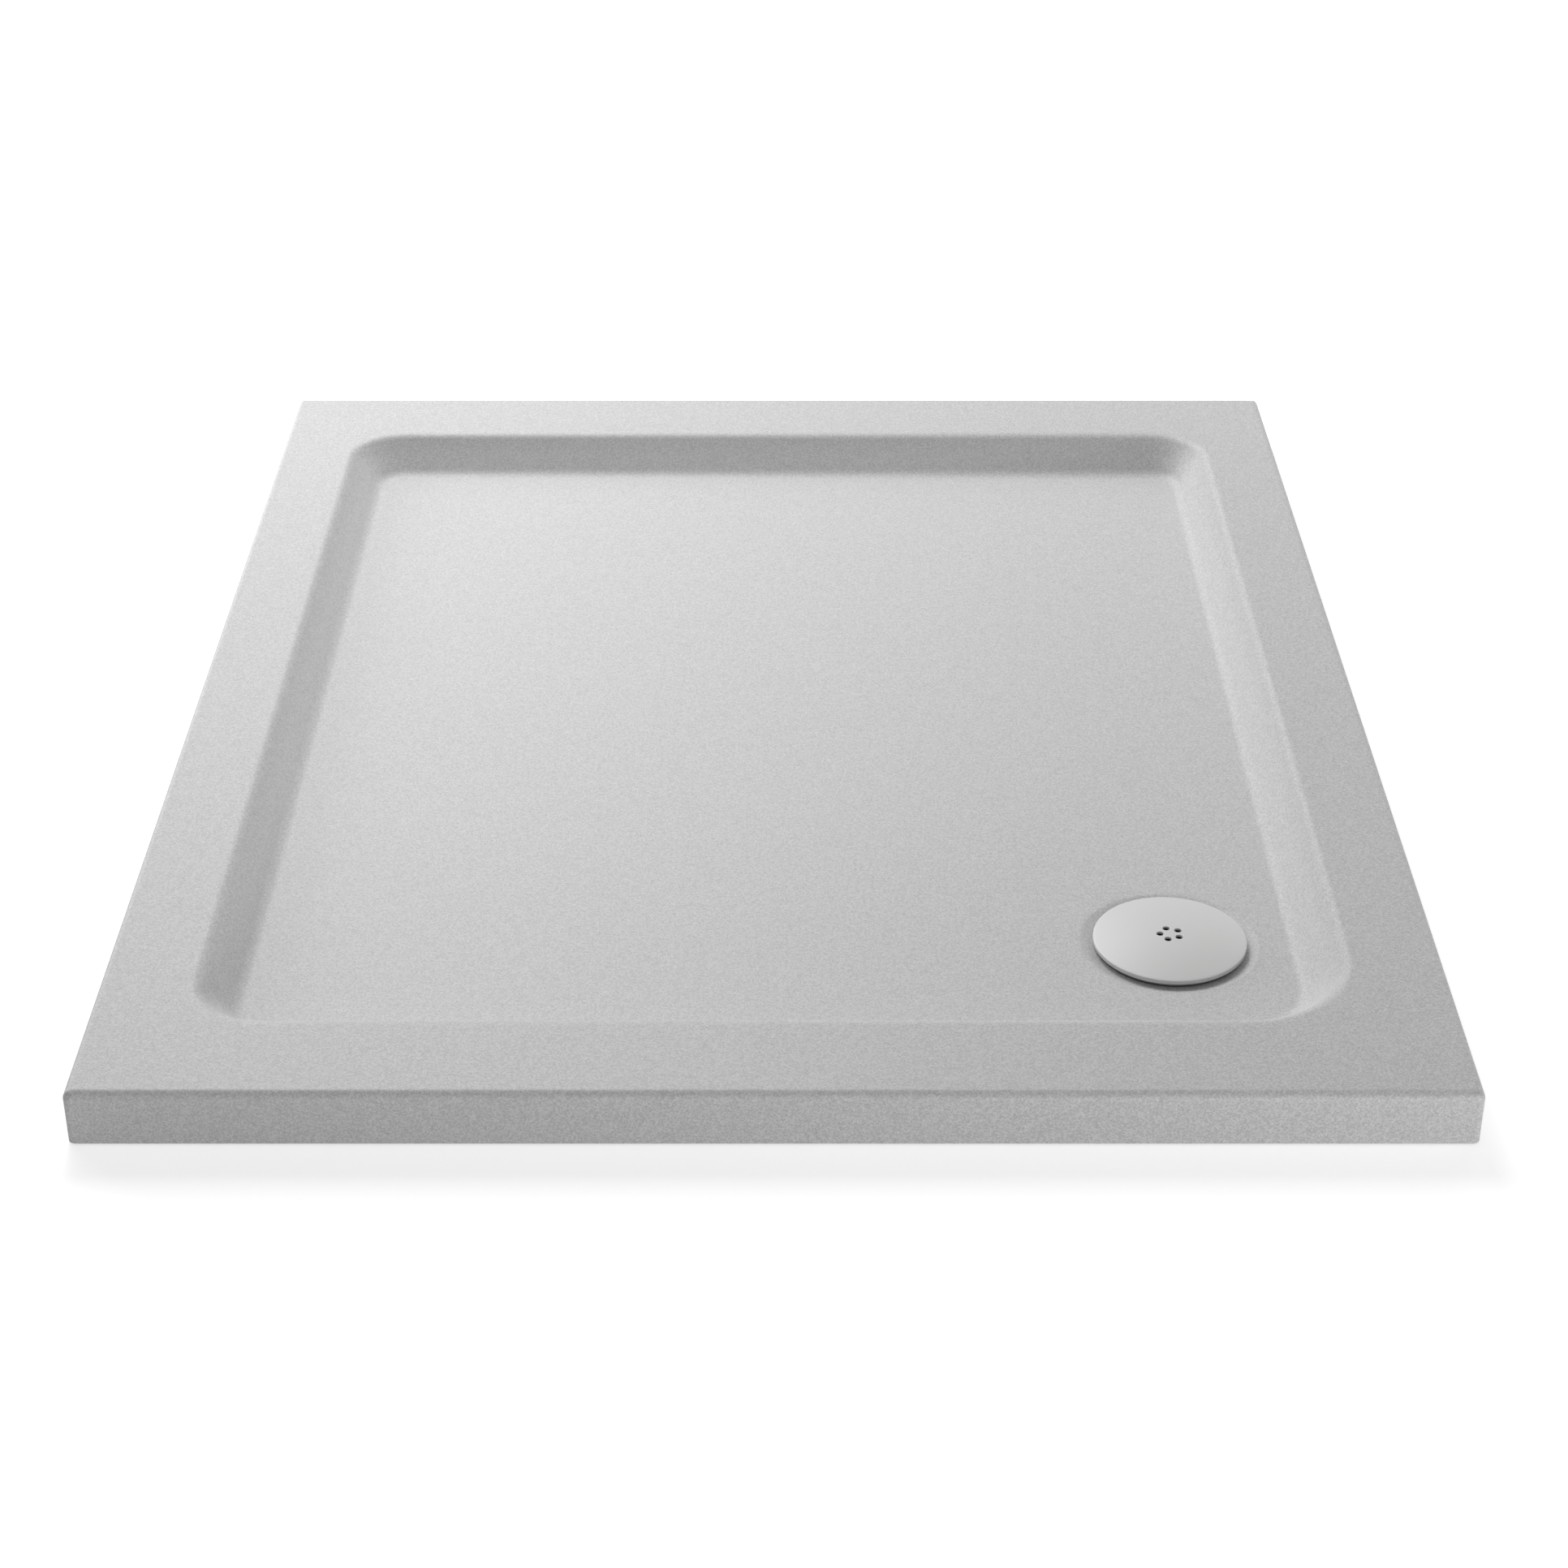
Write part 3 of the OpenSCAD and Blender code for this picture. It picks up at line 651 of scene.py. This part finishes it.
class Basin:
    """The rings, all with as many points, that the sheet is drawn through."""

    corner_steps = 20
    side_points = (44, 18, 26, 30)
    fine_steps = 10
    coarse_steps = 4
    front_shares = (0.02, 0.06, 0.12, 0.2, 0.3, 0.4, 0.5, 0.6, 0.7, 0.8, 0.88, 0.94, 0.98, 0.995)
    back_shares = (1, 0.8, 0.5, 0.2)

    def __init__(self, sizes):
        self.sizes = sizes
        self.half_w = (SHEET_HIGH.x - SHEET_LOW.x) / 2
        self.half_d = (SHEET_HIGH.y - SHEET_LOW.y) / 2
        self.top = SHEET_HIGH.z
        self.seat_z = sizes.dish_z - sizes.dish_depth
        self.lip_radii = [sizes.waste_corner_r] + 3 * [sizes.lip_corner_r]
        self.sides = self.straight_points()
        self.lip_line = self.outline(sizes.side_rim, sizes.end_rim, self.lip_radii)
        self.foot_line = self.outline(sizes.side_rim + sizes.side_run, sizes.end_rim + sizes.end_run,
                                      [r - sizes.side_run for r in self.lip_radii])
        self.angles = [atan2(y - WASTE_Y, x - WASTE_X) for x, y in self.foot_line]
        self.foot_z = [sizes.dish_z + sizes.fall * (dist(p, (WASTE_X, WASTE_Y)) - sizes.dish_r)
                       for p in self.foot_line]
        self.wall_a = [self.wall_angle(z) for z in self.foot_z]

    def wall_angle(self, level):
        """Slope of the wall that is tangent to the lip and the foot."""
        run = self.sizes.side_run
        both_r = self.sizes.lip_r + self.sizes.foot_r
        rise = self.top - level - both_r
        return atan2(rise, run) + asin(both_r / hypot(run, rise))

    def straight_points(self):
        """Places of the points along the four straights."""
        sizes = self.sizes
        across = [self.half_w - sizes.side_rim - r for r in self.lip_radii]
        reach = [max(r, sizes.end_run + r - sizes.side_run) for r in self.lip_radii]
        along = [self.half_d - sizes.end_rim - r for r in reach]
        foot_x = self.half_w - sizes.side_rim - sizes.side_run
        foot_y = self.half_d - sizes.end_rim - sizes.end_run
        count = self.side_points
        return (spread(-along[0], along[1], WASTE_Y, foot_x - WASTE_X, count[0]),
                spread(across[1], -across[2], WASTE_X, foot_y - WASTE_Y, count[1]),
                spread(along[2], -along[3], WASTE_Y, foot_x + WASTE_X, count[2]),
                spread(-across[3], across[0], WASTE_X, foot_y + WASTE_Y, count[3]))

    def outline(self, u, v, radii):
        """The outline, u in at the sides and v in at the ends, from the front right corner."""
        line = []
        for k, (right, back) in enumerate(((1, -1), (1, 1), (-1, 1), (-1, -1))):
            r = radii[k]
            x = right * (self.half_w - u)
            y = back * (self.half_d - v)
            turns = [(k - 1) * QUARTER_TURN + QUARTER_TURN * share for share in arc_steps(self.corner_steps)]
            line += [(x - right * r + r * cos(a), y - back * r + r * sin(a)) for a in turns]
            line += [(s, y) if k % 2 else (x, s) for s in self.sides[k]]
        return line

    def outer_ring(self, u, z):
        """A ring of the outer side, stepped in by u."""
        radius = max(self.sizes.corner_r - u, EVEN)
        return [(x, y, z) for x, y in self.outline(u, u, 4 * [radius])]

    def rim_ring(self, outward):
        """A ring on the flat rim, that far out from the lip."""
        radii = [r + outward for r in self.lip_radii]
        line = self.outline(self.sizes.side_rim - outward, self.sizes.end_rim - outward, radii)
        return [(x, y, self.top) for x, y in line]

    def edge_ring(self, share, off):
        """A ring of the rounded top edge: share is 0 on the outer face and 1 on the rim."""
        turn = QUARTER_TURN * (share - 1)
        radius = self.sizes.edge_r - off
        return self.outer_ring(self.sizes.edge_r + radius * sin(turn),
                               self.top - self.sizes.edge_r + radius * cos(turn))

    def wall_point(self, i, u, z):
        """A point of the basin's wall at station i. The end walls are the side wall drawn out."""
        share = (u - self.sizes.side_rim) / self.sizes.side_run
        lip, foot = self.lip_line[i], self.foot_line[i]
        return (lip[0] + (foot[0] - lip[0]) * share, lip[1] + (foot[1] - lip[1]) * share, z)

    def lip_ring(self, share, off):
        """A ring of the rounded lip, off below the surface."""
        radius = self.sizes.lip_r - off
        level = self.top - self.sizes.lip_r
        return [self.wall_point(i, self.sizes.side_rim + radius * sin(a * share),
                                level + radius * cos(a * share)) for i, a in enumerate(self.wall_a)]

    def foot_ring(self, share, off):
        """A ring of the foot's fillet, off below the surface."""
        radius = self.sizes.foot_r + off
        end = self.sizes.side_rim + self.sizes.side_run
        return [self.wall_point(i, end - radius * sin(a * (1 - share)),
                                z + self.sizes.foot_r - radius * cos(a * (1 - share)))
                for i, (a, z) in enumerate(zip(self.wall_a, self.foot_z))]

    def floor_ring(self, share, off):
        """A ring of the floor: share is 0 at the foot of the wall and 1 at the dish."""
        edge = self.waste_ring(self.sizes.dish_r, self.sizes.dish_z - off)
        return [tuple(Vector((x, y, z - off)).lerp(Vector(point), share))
                for (x, y), z, point in zip(self.foot_line, self.foot_z, edge)]

    def waste_ring(self, radius, z):
        """A circle about the waste, with its points in line with the foot's."""
        return [upright(radius * cos(a), radius * sin(a), z) for a in self.angles]

    def dish_ring(self, share):
        """A ring of the dish's soft slope, from its edge to the seat."""
        sizes = self.sizes
        eased = share * share * (3 - 2 * share)
        return self.waste_ring(sizes.dish_r + (sizes.seat_r - sizes.dish_r) * share,
                               sizes.dish_z - sizes.dish_depth * (share + eased) / 2)

    def front_rings(self):
        """The seen surface, from the lower edge of the side to the waste hole."""
        sizes = self.sizes
        low = SHEET_LOW.z
        near = SMOOTH
        fine = arc_steps(self.fine_steps)
        return [
            self.outer_ring(near / 2, low),
            self.outer_ring(0, low + near / 2),
            self.outer_ring(0, low + 2 * near),
            self.outer_ring(0, self.top - sizes.edge_r - near),
            *[self.edge_ring(share, 0) for share in fine],
            self.outer_ring(sizes.edge_r + near, self.top),
            self.rim_ring(near),
            *[ring(share, 0) for ring in (self.lip_ring, self.foot_ring) for share in fine],
            *[self.floor_ring(share, 0) for share in self.front_shares],
            *[self.dish_ring(share) for share in fine],
            self.waste_ring(sizes.hole_r + near, self.seat_z),
            self.waste_ring(sizes.hole_r, self.seat_z - near / 2)]

    def back_rings(self):
        """The back, from the waste hole to the lower edge of the side."""
        off = self.sizes.sheet_t
        level = self.seat_z - off
        coarse = arc_steps(self.coarse_steps)[::-1]
        bends = (self.foot_ring, self.lip_ring, self.edge_ring)
        return [
            self.waste_ring(self.sizes.hole_r, level),
            self.waste_ring(self.sizes.seat_r, level),
            *[self.floor_ring(share, off) for share in self.back_shares],
            *[ring(share, off) for ring in bends for share in coarse],
            self.outer_ring(off, SHEET_LOW.z)]


class TRAY_OT_sheet(Operator):
    """Builds the formed sheet"""

    bl_idname = "shower_tray.sheet"
    bl_label = "Formed sheet"

    def execute(self, context):
        basin = Basin(context.scene.tray_basin)
        rings = basin.front_rings() + basin.back_rings()
        sheet = solid("formed_sheet", *skin(rings, closed=True))
        present(sheet, "tray_sheet", sheet_finish(context.scene.tray_finishes))
        return {"FINISHED"}


class TRAY_OT_core(Operator):
    """Finishes the cast core behind the sheet"""

    bl_idname = "shower_tray.core"
    bl_label = "Cast core"

    def execute(self, context):
        dress("resin_core", core_finish(context.scene.tray_finishes))
        return {"FINISHED"}


class TRAY_OT_cover(Operator):
    """Builds the domed cover with its drain holes and legs"""

    bl_idname = "shower_tray.cover"
    bl_label = "Waste cover"
    dome_steps = 24
    leg_top_walls = 2.4

    def execute(self, context):
        cover = context.scene.tray_cover
        crown = COVER_HIGH.z
        piece = turned("domed_cover", self.section(cover, crown), cover.edge_round, steps=COVER_STEPS)
        inner = cover.leg_r - cover.leg_t
        outer = cover.leg_r + cover.leg_t
        top = crown - self.leg_top_walls * cover.wall
        leg = [(inner, COVER_LOW.z), (cover.leg_r, COVER_LOW.z), (cover.leg_r, TUBE_HIGH.z),
               (outer, TUBE_HIGH.z), (outer, top), (inner, top)]
        for k in range(cover.leg_count):
            start = FULL_TURN * (k + 0.5) / cover.leg_count - cover.leg_angle / 2
            join(piece, turned("leg", leg, CRISP, steps=LEG_STEPS, start=start, turn=cover.leg_angle))
        for centre in ring_places(cover.drain_count, cover.drain_ring_r, pi):
            cut(piece, round_cutter(cover.drain_r, crown - 2 * cover.wall, crown, centre))
        present(piece, "waste_cover", cover_finish(context.scene.tray_finishes))
        return {"FINISHED"}

    def section(self, cover, crown):
        """Half of the cover's section: a hollow dome with an upright edge."""
        radius = (COVER_HIGH.y - COVER_LOW.y) / 2
        dome_r = (radius ** 2 + cover.rise ** 2) / (2 * cover.rise)
        low = crown - cover.rise - cover.edge_h

        def dome(reach, inward):
            ring = dome_r - inward
            return [(reach * share, crown - dome_r + sqrt(ring ** 2 - (reach * share) ** 2))
                    for share in arc_steps(self.dome_steps)]

        inner_r = radius - cover.wall
        return dome(radius, 0) + [(radius, low), (inner_r, low)] + dome(inner_r, cover.wall)[::-1]


class TRAY_OT_flange(Operator):
    """Builds the waste flange with its screw shelf and well"""

    bl_idname = "shower_tray.flange"
    bl_label = "Waste flange"

    def execute(self, context):
        waste = context.scene.tray_waste
        looks = context.scene.tray_finishes
        edge_r = (FLANGE_HIGH.y - FLANGE_LOW.y) / 2
        low, top = FLANGE_LOW.z, FLANGE_HIGH.z
        under = top - waste.flange_t
        shelf = top - waste.shelf_drop
        base = shelf - waste.shelf_t
        inner = waste.skirt_r - waste.wall
        outer_well = waste.well_r + waste.wall
        piece = turned("waste_flange", [
            (edge_r, under, BROKEN), (edge_r, top, ROUND), (context.scene.tray_basin.hole_r, top, BROAD),
            (inner, top - waste.shelf_drop / 3, SOFT), (inner, shelf, SMOOTH), (waste.well_r, shelf),
            (waste.well_r, low), (outer_well, low), (outer_well, base), (waste.skirt_r, base),
            (waste.skirt_r, under)], PLAIN)
        for centre in screw_places(waste):
            cut(piece, round_cutter(waste.screw_hole_r, base, shelf, centre))
        # The flange's dark plastic also paints the shade in the gap under the cover's edge.
        present(piece, "top_flange", dark_finish(looks))
        dress("flange_seal", rubber_finish(looks))
        return {"FINISHED"}


class TRAY_OT_screws(Operator):
    """Builds the four pan-head screws"""

    bl_idname = "shower_tray.screws"
    bl_label = "Flange screws"
    thread_share = 0.48
    point_share = 0.65
    brow_share = 0.35
    crown_share = 0.6
    recess_share = 0.4
    recess_low = (0.0015, 0.0007)
    recess_high = (0.0031, 0.0013)
    turn_steps = 8
    head_steps = 6

    def execute(self, context):
        waste = context.scene.tray_waste
        shelf = SCREWS_HIGH.z - waste.head_h
        screw = solid("flange_screw", *skin(self.rings(waste, shelf)))
        recess = [self.cross(*self.recess_low, shelf + waste.head_h * self.recess_share),
                  self.cross(*self.recess_high, SCREWS_HIGH.z + waste.wall)]
        cut(screw, solid("cutter", *skin(recess)))
        piece = added("pan_head_screws", bpy.data.meshes.new("pan_head_screws"))
        group = bmesh.new()
        for x, y in screw_places(waste):
            one = screw.data.copy()
            one.transform(Matrix.Translation((x, y, 0)))
            group.from_mesh(one)
        group.to_mesh(piece.data)
        group.free()
        bpy.data.objects.remove(screw)
        present(piece, "flange_screws", steel_finish(context.scene.tray_finishes))
        return {"FINISHED"}

    def rings(self, waste, shelf):
        """Rings of a screw: point, thread and pan head."""
        depth = self.thread_share * waste.pitch
        low = SCREWS_LOW.z
        step = waste.pitch / self.turn_steps
        rings = []
        for k in range(int((shelf - low) / step)):
            z = low + k * step
            point = min(1, self.point_share + (z - low) / (2 * waste.screw_r))

            def reach(a, z=z, point=point):
                wave = (z / waste.pitch - a / FULL_TURN) % 1
                return point * (waste.screw_r - depth * (1 - abs(2 * wave - 1)))

            rings.append(circle(reach, z))
        rings += [circle(waste.screw_r - depth, shelf), circle(waste.head_r - BROKEN, shelf)]
        for share in arc_steps(self.head_steps):
            turn = QUARTER_TURN * share
            drawn_in = waste.head_h * self.crown_share * (1 - cos(turn))
            height = waste.head_h * (self.brow_share + (1 - self.brow_share) * sin(turn))
            rings.append(circle(waste.head_r - drawn_in, shelf + height))
        return rings

    def cross(self, reach, width, z):
        """The outline of a cross recess."""
        w = width / 2
        arm = [(reach, -w), (reach, w), (w, w)]
        return [upright(x * c - y * s, x * s + y * c, z)
                for c, s in ((1, 0), (0, 1), (-1, 0), (0, -1)) for x, y in arm]


class TRAY_OT_insert(Operator):
    """Builds the dip tube and the hair strainer in it"""

    bl_idname = "shower_tray.insert"
    bl_label = "Dip tube and strainer"
    neck_share = 0.7
    row_share = 0.75

    def execute(self, context):
        waste = context.scene.tray_waste
        looks = context.scene.tray_finishes
        # The insert's dark plastic also paints the shade seen through the cover's drain holes.
        dark = dark_finish(looks)
        present(self.dip_tube(waste), "dip_tube", dark)
        present(self.strainer(waste), "hair_strainer", dark)
        dress("dip_tube_seal", rubber_finish(looks))
        return {"FINISHED"}

    def dip_tube(self, waste):
        """The tube with its funnel, ledge, grooved collar and rim."""
        rim_r = (TUBE_HIGH.y - TUBE_LOW.y) / 2
        low, top = TUBE_LOW.z, TUBE_HIGH.z
        shelf = top - waste.collar_rim_t
        ledge = shelf - waste.collar_len
        inner = waste.collar_r - waste.collar_t
        bore = inner - waste.tube_t - waste.funnel_w
        outer = bore + waste.tube_t
        groove_low = shelf - waste.groove_drop - waste.groove_h
        groove_high = shelf - waste.groove_drop + waste.groove_h
        funnel = ledge - waste.funnel_w - waste.tube_t
        return turned("dip_tube_body", [
            (rim_r, shelf, CRISP), (rim_r, top, GENTLE), (inner, top, FULL), (inner, ledge, EASED),
            (inner - waste.tube_t, ledge, SMOOTH), (bore, funnel, SWEPT), (bore, low, SMOOTH),
            (outer, low, SMOOTH), (outer, funnel - waste.tube_t, SWEPT),
            (waste.collar_r, ledge - waste.tube_t, SOFT), (waste.collar_r, groove_low, BROKEN),
            (waste.groove_r, groove_low, BROKEN), (waste.groove_r, groove_high, BROKEN),
            (waste.collar_r, groove_high, BROKEN), (waste.collar_r, shelf, PLAIN)], PLAIN)

    def strainer(self, waste):
        """The plate with two rings of holes and a finger knob."""
        plate_r = (STRAINER_HIGH.y - STRAINER_LOW.y) / 2
        low, high = STRAINER_LOW.z, STRAINER_HIGH.z
        plate = low + waste.plate_t
        neck = self.neck_share * waste.knob_r
        knob = high - waste.knob_h
        piece = turned("strainer_plate", [
            (0, low), (plate_r, low, CRISP), (plate_r, plate, EVEN), (neck, plate, ROUND),
            (neck, knob - SMOOTH, ROUND), (waste.knob_r, knob, EVEN), (waste.knob_r, high, ROUND),
            (0, high)], PLAIN)
        pitch = (plate_r - waste.knob_r) / 3
        for row in (0, 1):
            for centre in ring_places(6 * row + 7, waste.knob_r + (row + self.row_share) * pitch):
                cut(piece, round_cutter(waste.strainer_hole_r, low, plate, centre, steps=STRAINER_STEPS))
        return piece


class TRAY_OT_trap(Operator):
    """Builds the trap with its screw bosses and the outlet's stub"""

    bl_idname = "shower_tray.trap"
    bl_label = "Trap"

    def execute(self, context):
        trap = context.scene.tray_trap
        waste = context.scene.tray_waste
        looks = context.scene.tray_finishes
        piece = self.moulding(trap)
        self.add_stub(piece, trap)
        for centre in screw_places(waste):
            self.add_boss(piece, trap, Vector(centre))
        end = SOCKET_LOW.x - WASTE_X + trap.wall
        cut(piece, plug(trap.passage_r, trap.cup_r + 2 * trap.wall, end, sideways))
        low = SCREWS_LOW.z - trap.wall / 2
        for centre in screw_places(waste):
            cut(piece, round_cutter(waste.screw_r + waste.screw_play, low, TRAP_HIGH.z, centre,
                                    steps=SCREW_STEPS))
        present(piece, "trap_body", plastic_finish(looks))
        dress("lower_seal", rubber_finish(looks))
        return {"FINISHED"}

    def moulding(self, trap):
        """The turned part of the trap."""
        rim_r = (TRAP_HIGH.y - TRAP_LOW.y) / 2
        rim_low = trap.top_z - trap.rim_t
        outer_r = trap.inner_r + trap.wall
        cup_out_r = trap.cup_r + trap.wall
        base = trap.channel_z - trap.wall
        low = TRAP_LOW.z
        floor = low + trap.wall
        return turned("trap_moulding", [
            (rim_r, trap.top_z), (rim_r, rim_low), (outer_r, rim_low, SOFT), (outer_r, base, SWEPT),
            (cup_out_r, base, WIDE), (cup_out_r, low, DEEP), (0, low), (0, floor), (trap.cup_r, floor, BROAD),
            (trap.cup_r, trap.weir_z, SMOOTH), (cup_out_r, trap.weir_z, SMOOTH),
            (cup_out_r, trap.channel_z, FULL), (trap.inner_r, trap.channel_z, BROAD),
            (trap.inner_r, trap.top_z)], EVEN)

    def add_stub(self, piece, trap):
        """Joins the outlet's stub, whose inner end follows the trap's wall."""
        radius = (SOCKET_HIGH.z - SOCKET_LOW.z) / 2
        start = trap.inner_r - trap.wall - radius / 4
        end = SOCKET_LOW.x - WASTE_X
        stub = turned("stub", [(0, start), (radius, start), (radius, end), (0, end)], BROKEN, place=sideways)
        cut(stub, plug(trap.inner_r + trap.wall / 2, trap.channel_z, 0))
        join(piece, stub)

    def add_boss(self, piece, trap, centre):
        """Joins one screw boss and the rib that carries it."""
        low, high = trap.boss_low, TRAP_HIGH.z
        section = [(0, low), (trap.boss_r, low, SOFT), (trap.boss_r, high, EVEN), (0, high)]
        join(piece, turned("boss", section, 0, place=beside(centre), steps=HOLE_STEPS))
        out = centre.normalized()
        side = Vector((-out.y, out.x)) * trap.rib_t / 2
        end = out * (trap.inner_r + trap.wall / 2)
        corners = [centre + side, centre - side, end - side, end + side]
        levels = (low + EVEN, trap.top_z - trap.rim_t)
        join(piece, solid("rib", *skin([[upright(c.x, c.y, z) for c in corners] for z in levels])))


class TRAY_OT_outlet(Operator):
    """Builds the outlet's socket and nut, and finishes its washer and seal"""

    bl_idname = "shower_tray.outlet"
    bl_label = "Outlet"
    rib_end_share = 0.7

    def execute(self, context):
        trap = context.scene.tray_trap
        looks = context.scene.tray_finishes
        white = plastic_finish(looks)
        present(self.socket(trap), "outlet_socket", white)
        present(self.nut(trap), "outlet_nut", white)
        dress("outlet_washer", washer_finish(looks))
        dress("outlet_seal", rubber_finish(looks))
        return {"FINISHED"}

    def socket(self, trap):
        """The socket, with a stop for the pipe's end."""
        outer_r = (SOCKET_HIGH.z - SOCKET_LOW.z) / 2
        start = SOCKET_LOW.x - WASTE_X
        mouth = SOCKET_HIGH.x - WASTE_X
        stop = start + trap.stop_t
        return turned("pipe_socket", [
            (trap.passage_r, start, BROKEN), (outer_r, start, BROKEN), (outer_r, mouth, EASED),
            (trap.socket_r, mouth, SMOOTH), (trap.socket_r, stop, PLAIN), (trap.passage_r, stop, SMOOTH)],
            PLAIN, place=sideways)

    def nut(self, trap):
        """The nut: a ribbed sleeve and an end wall with the pipe's hole."""
        start = NUT_LOW.x - WASTE_X
        end = NUT_HIGH.x - WASTE_X
        outer_r = (NUT_HIGH.z - NUT_LOW.z) / 2 - trap.rib_r
        inner_r = outer_r - trap.nut_t
        hole_r = trap.socket_r + trap.nut_gap
        wall = end - trap.nut_t
        soft = EASED

        def ribbed(share):
            def reach(a):
                off = remainder(a, FULL_TURN / trap.rib_count) * outer_r
                return outer_r + share * sqrt(max(trap.rib_r ** 2 - off ** 2, 0))
            return reach

        rib_end = ribbed(self.rib_end_share)
        line = [(inner_r, start + soft), (inner_r + soft / 2, start), (outer_r - soft / 2, start),
                (outer_r, start + soft / 2), (rib_end, start + soft), (ribbed(1), start + 2 * soft),
                (ribbed(1), wall - 2 * soft), (rib_end, wall - soft), (outer_r, wall), (outer_r, end - soft),
                (outer_r - soft / 3, end - soft / 3), (outer_r - soft, end), (hole_r + soft / 2, end),
                (hole_r, end - soft / 2), (hole_r, wall), (inner_r, wall)]
        rings = [circle(radius, z, sideways, NUT_STEPS) for radius, z in line]
        return solid("ribbed_nut", *skin(rings, closed=True))


# Place, aim, size and power of each lamp.
LAMPS = {
    "key": ((-0.5, 2.4, 2.4), (0, 0, 0), (1.5, 1.5), 49),
    "near": ((-0.8, 1.6, 1.4), (-0.2, 0.2, 0), (1.2, 1.2), 10.4),
    "left": ((-1.7, 1.4, 0.6), (0, 0, 0), (1.2, 0.6), 16.2),
    "back": ((1.5, 1.8, 1.2), (0, 0, 0), (1.4, 1.4), 7.5),
    "front": ((0.6, -2.6, 0.25), (0, 0, 0), (2.4, 0.4), 8.3),
    "low": ((1.2, -1.7, 0.12), (0, 0, 0.02), (1.6, 0.2), 9),
}


class TRAY_OT_studio(Operator):
    """Makes the floor, the lamps, the sky and the camera"""

    bl_idname = "shower_tray.studio"
    bl_label = "Studio"
    floor_reach = 30
    pocket_margin = 0.01

    def execute(self, context):
        studio = context.scene.tray_studio
        self.add_floor(studio)
        for name, lamp in LAMPS.items():
            self.add_lamp(name + "_lamp", *lamp)
        self.add_sky(context.scene, studio)
        self.add_camera(context.scene, studio)
        context.scene.view_settings.view_transform = "Standard"
        return {"FINISHED"}

    def add_floor(self, studio):
        """A wide floor under the tray, with a pocket for the trap."""
        margin = self.pocket_margin
        far = self.floor_reach

        def square(x, y, z):
            return [(x[0], y[0], z), (x[1], y[0], z), (x[1], y[1], z), (x[0], y[1], z)]

        x = (TRAP_LOW.x - margin, NUT_HIGH.x + margin)
        y = (TRAP_LOW.y - margin, TRAP_HIGH.y + margin)
        points = square((-far, far), (-far, far), 0) + square(x, y, 0) + square(x, y, TRAP_LOW.z - margin)
        mesh = bpy.data.meshes.new("studio_floor")
        mesh.from_pydata(points, [], band(0, 4, 4) + band(4, 8, 4) + [(8, 9, 10, 11)])
        mesh.materials.append(floor_finish(studio))
        floor = added("studio_floor", mesh)

    def add_lamp(self, name, place, aim, size, watts):
        """A soft lamp that looks at a point."""
        lamp = bpy.data.lights.new(name, "AREA")
        lamp.shape = "RECTANGLE"
        lamp.size, lamp.size_y = size
        lamp.energy = watts
        holder = added(name, lamp)
        holder.location = place
        holder.rotation_euler = (Vector(aim) - Vector(place)).to_track_quat("-Z", "Y").to_euler()

    def add_sky(self, scene, studio):
        """Even light all round, from a world that looks white."""
        scene.world = bpy.data.worlds.new("studio_sky")
        sky = ShaderTree(scene.world)
        even = sky.node("Background", {"Strength": studio.sky})
        white = sky.node("Background", {"Color": (1, 1, 1, 1)})
        sky.node("OutputWorld", {"Surface": sky.mixed(sky.seen(), even, white)})

    def add_camera(self, scene, studio):
        """The camera at the photograph's angle."""
        camera = bpy.data.cameras.new("studio_camera")
        camera.lens = studio.lens
        camera.shift_x = studio.shift
        scene.camera = added("studio_camera", camera)
        scene.camera.location = studio.eye
        scene.camera.rotation_euler = (studio.tilt, 0, 0)


GROUPS = {
    "tray_basin": TrayBasinSizes,
    "tray_cover": TrayCoverSizes,
    "tray_waste": TrayWasteSizes,
    "tray_trap": TrayTrapSizes,
    "tray_finishes": TrayFinishes,
    "tray_studio": TrayStudio,
}
STEPS = (TRAY_OT_sheet, TRAY_OT_core, TRAY_OT_cover, TRAY_OT_flange, TRAY_OT_screws, TRAY_OT_insert,
         TRAY_OT_trap, TRAY_OT_outlet, TRAY_OT_studio)


class TRAY_PT_panel(Panel):
    """Steps, sizes and colours of the shower tray"""

    bl_idname = "TRAY_PT_panel"
    bl_label = "Shower Tray"
    bl_space_type = "VIEW_3D"
    bl_region_type = "UI"
    bl_category = "Shower Tray"

    def draw(self, context):
        for step in STEPS:
            self.layout.operator(step.bl_idname)
        for name, group in GROUPS.items():
            box = self.layout.box()
            for size in group.__annotations__:
                box.prop(getattr(context.scene, name), size)


def register():
    for name, group in GROUPS.items():
        bpy.utils.register_class(group)
        setattr(bpy.types.Scene, name, PointerProperty(type=group))
    for cls in STEPS + (TRAY_PT_panel,):
        bpy.utils.register_class(cls)


def unregister():
    for cls in (TRAY_PT_panel,) + STEPS[::-1]:
        bpy.utils.unregister_class(cls)
    for name, group in GROUPS.items():
        delattr(bpy.types.Scene, name)
        bpy.utils.unregister_class(group)


def main():
    register()
    bpy.ops.shower_tray.sheet()
    bpy.ops.shower_tray.core()
    bpy.ops.shower_tray.cover()
    bpy.ops.shower_tray.flange()
    bpy.ops.shower_tray.screws()
    bpy.ops.shower_tray.insert()
    bpy.ops.shower_tray.trap()
    bpy.ops.shower_tray.outlet()
    bpy.ops.shower_tray.studio()


if __name__ == "__main__":
    main()
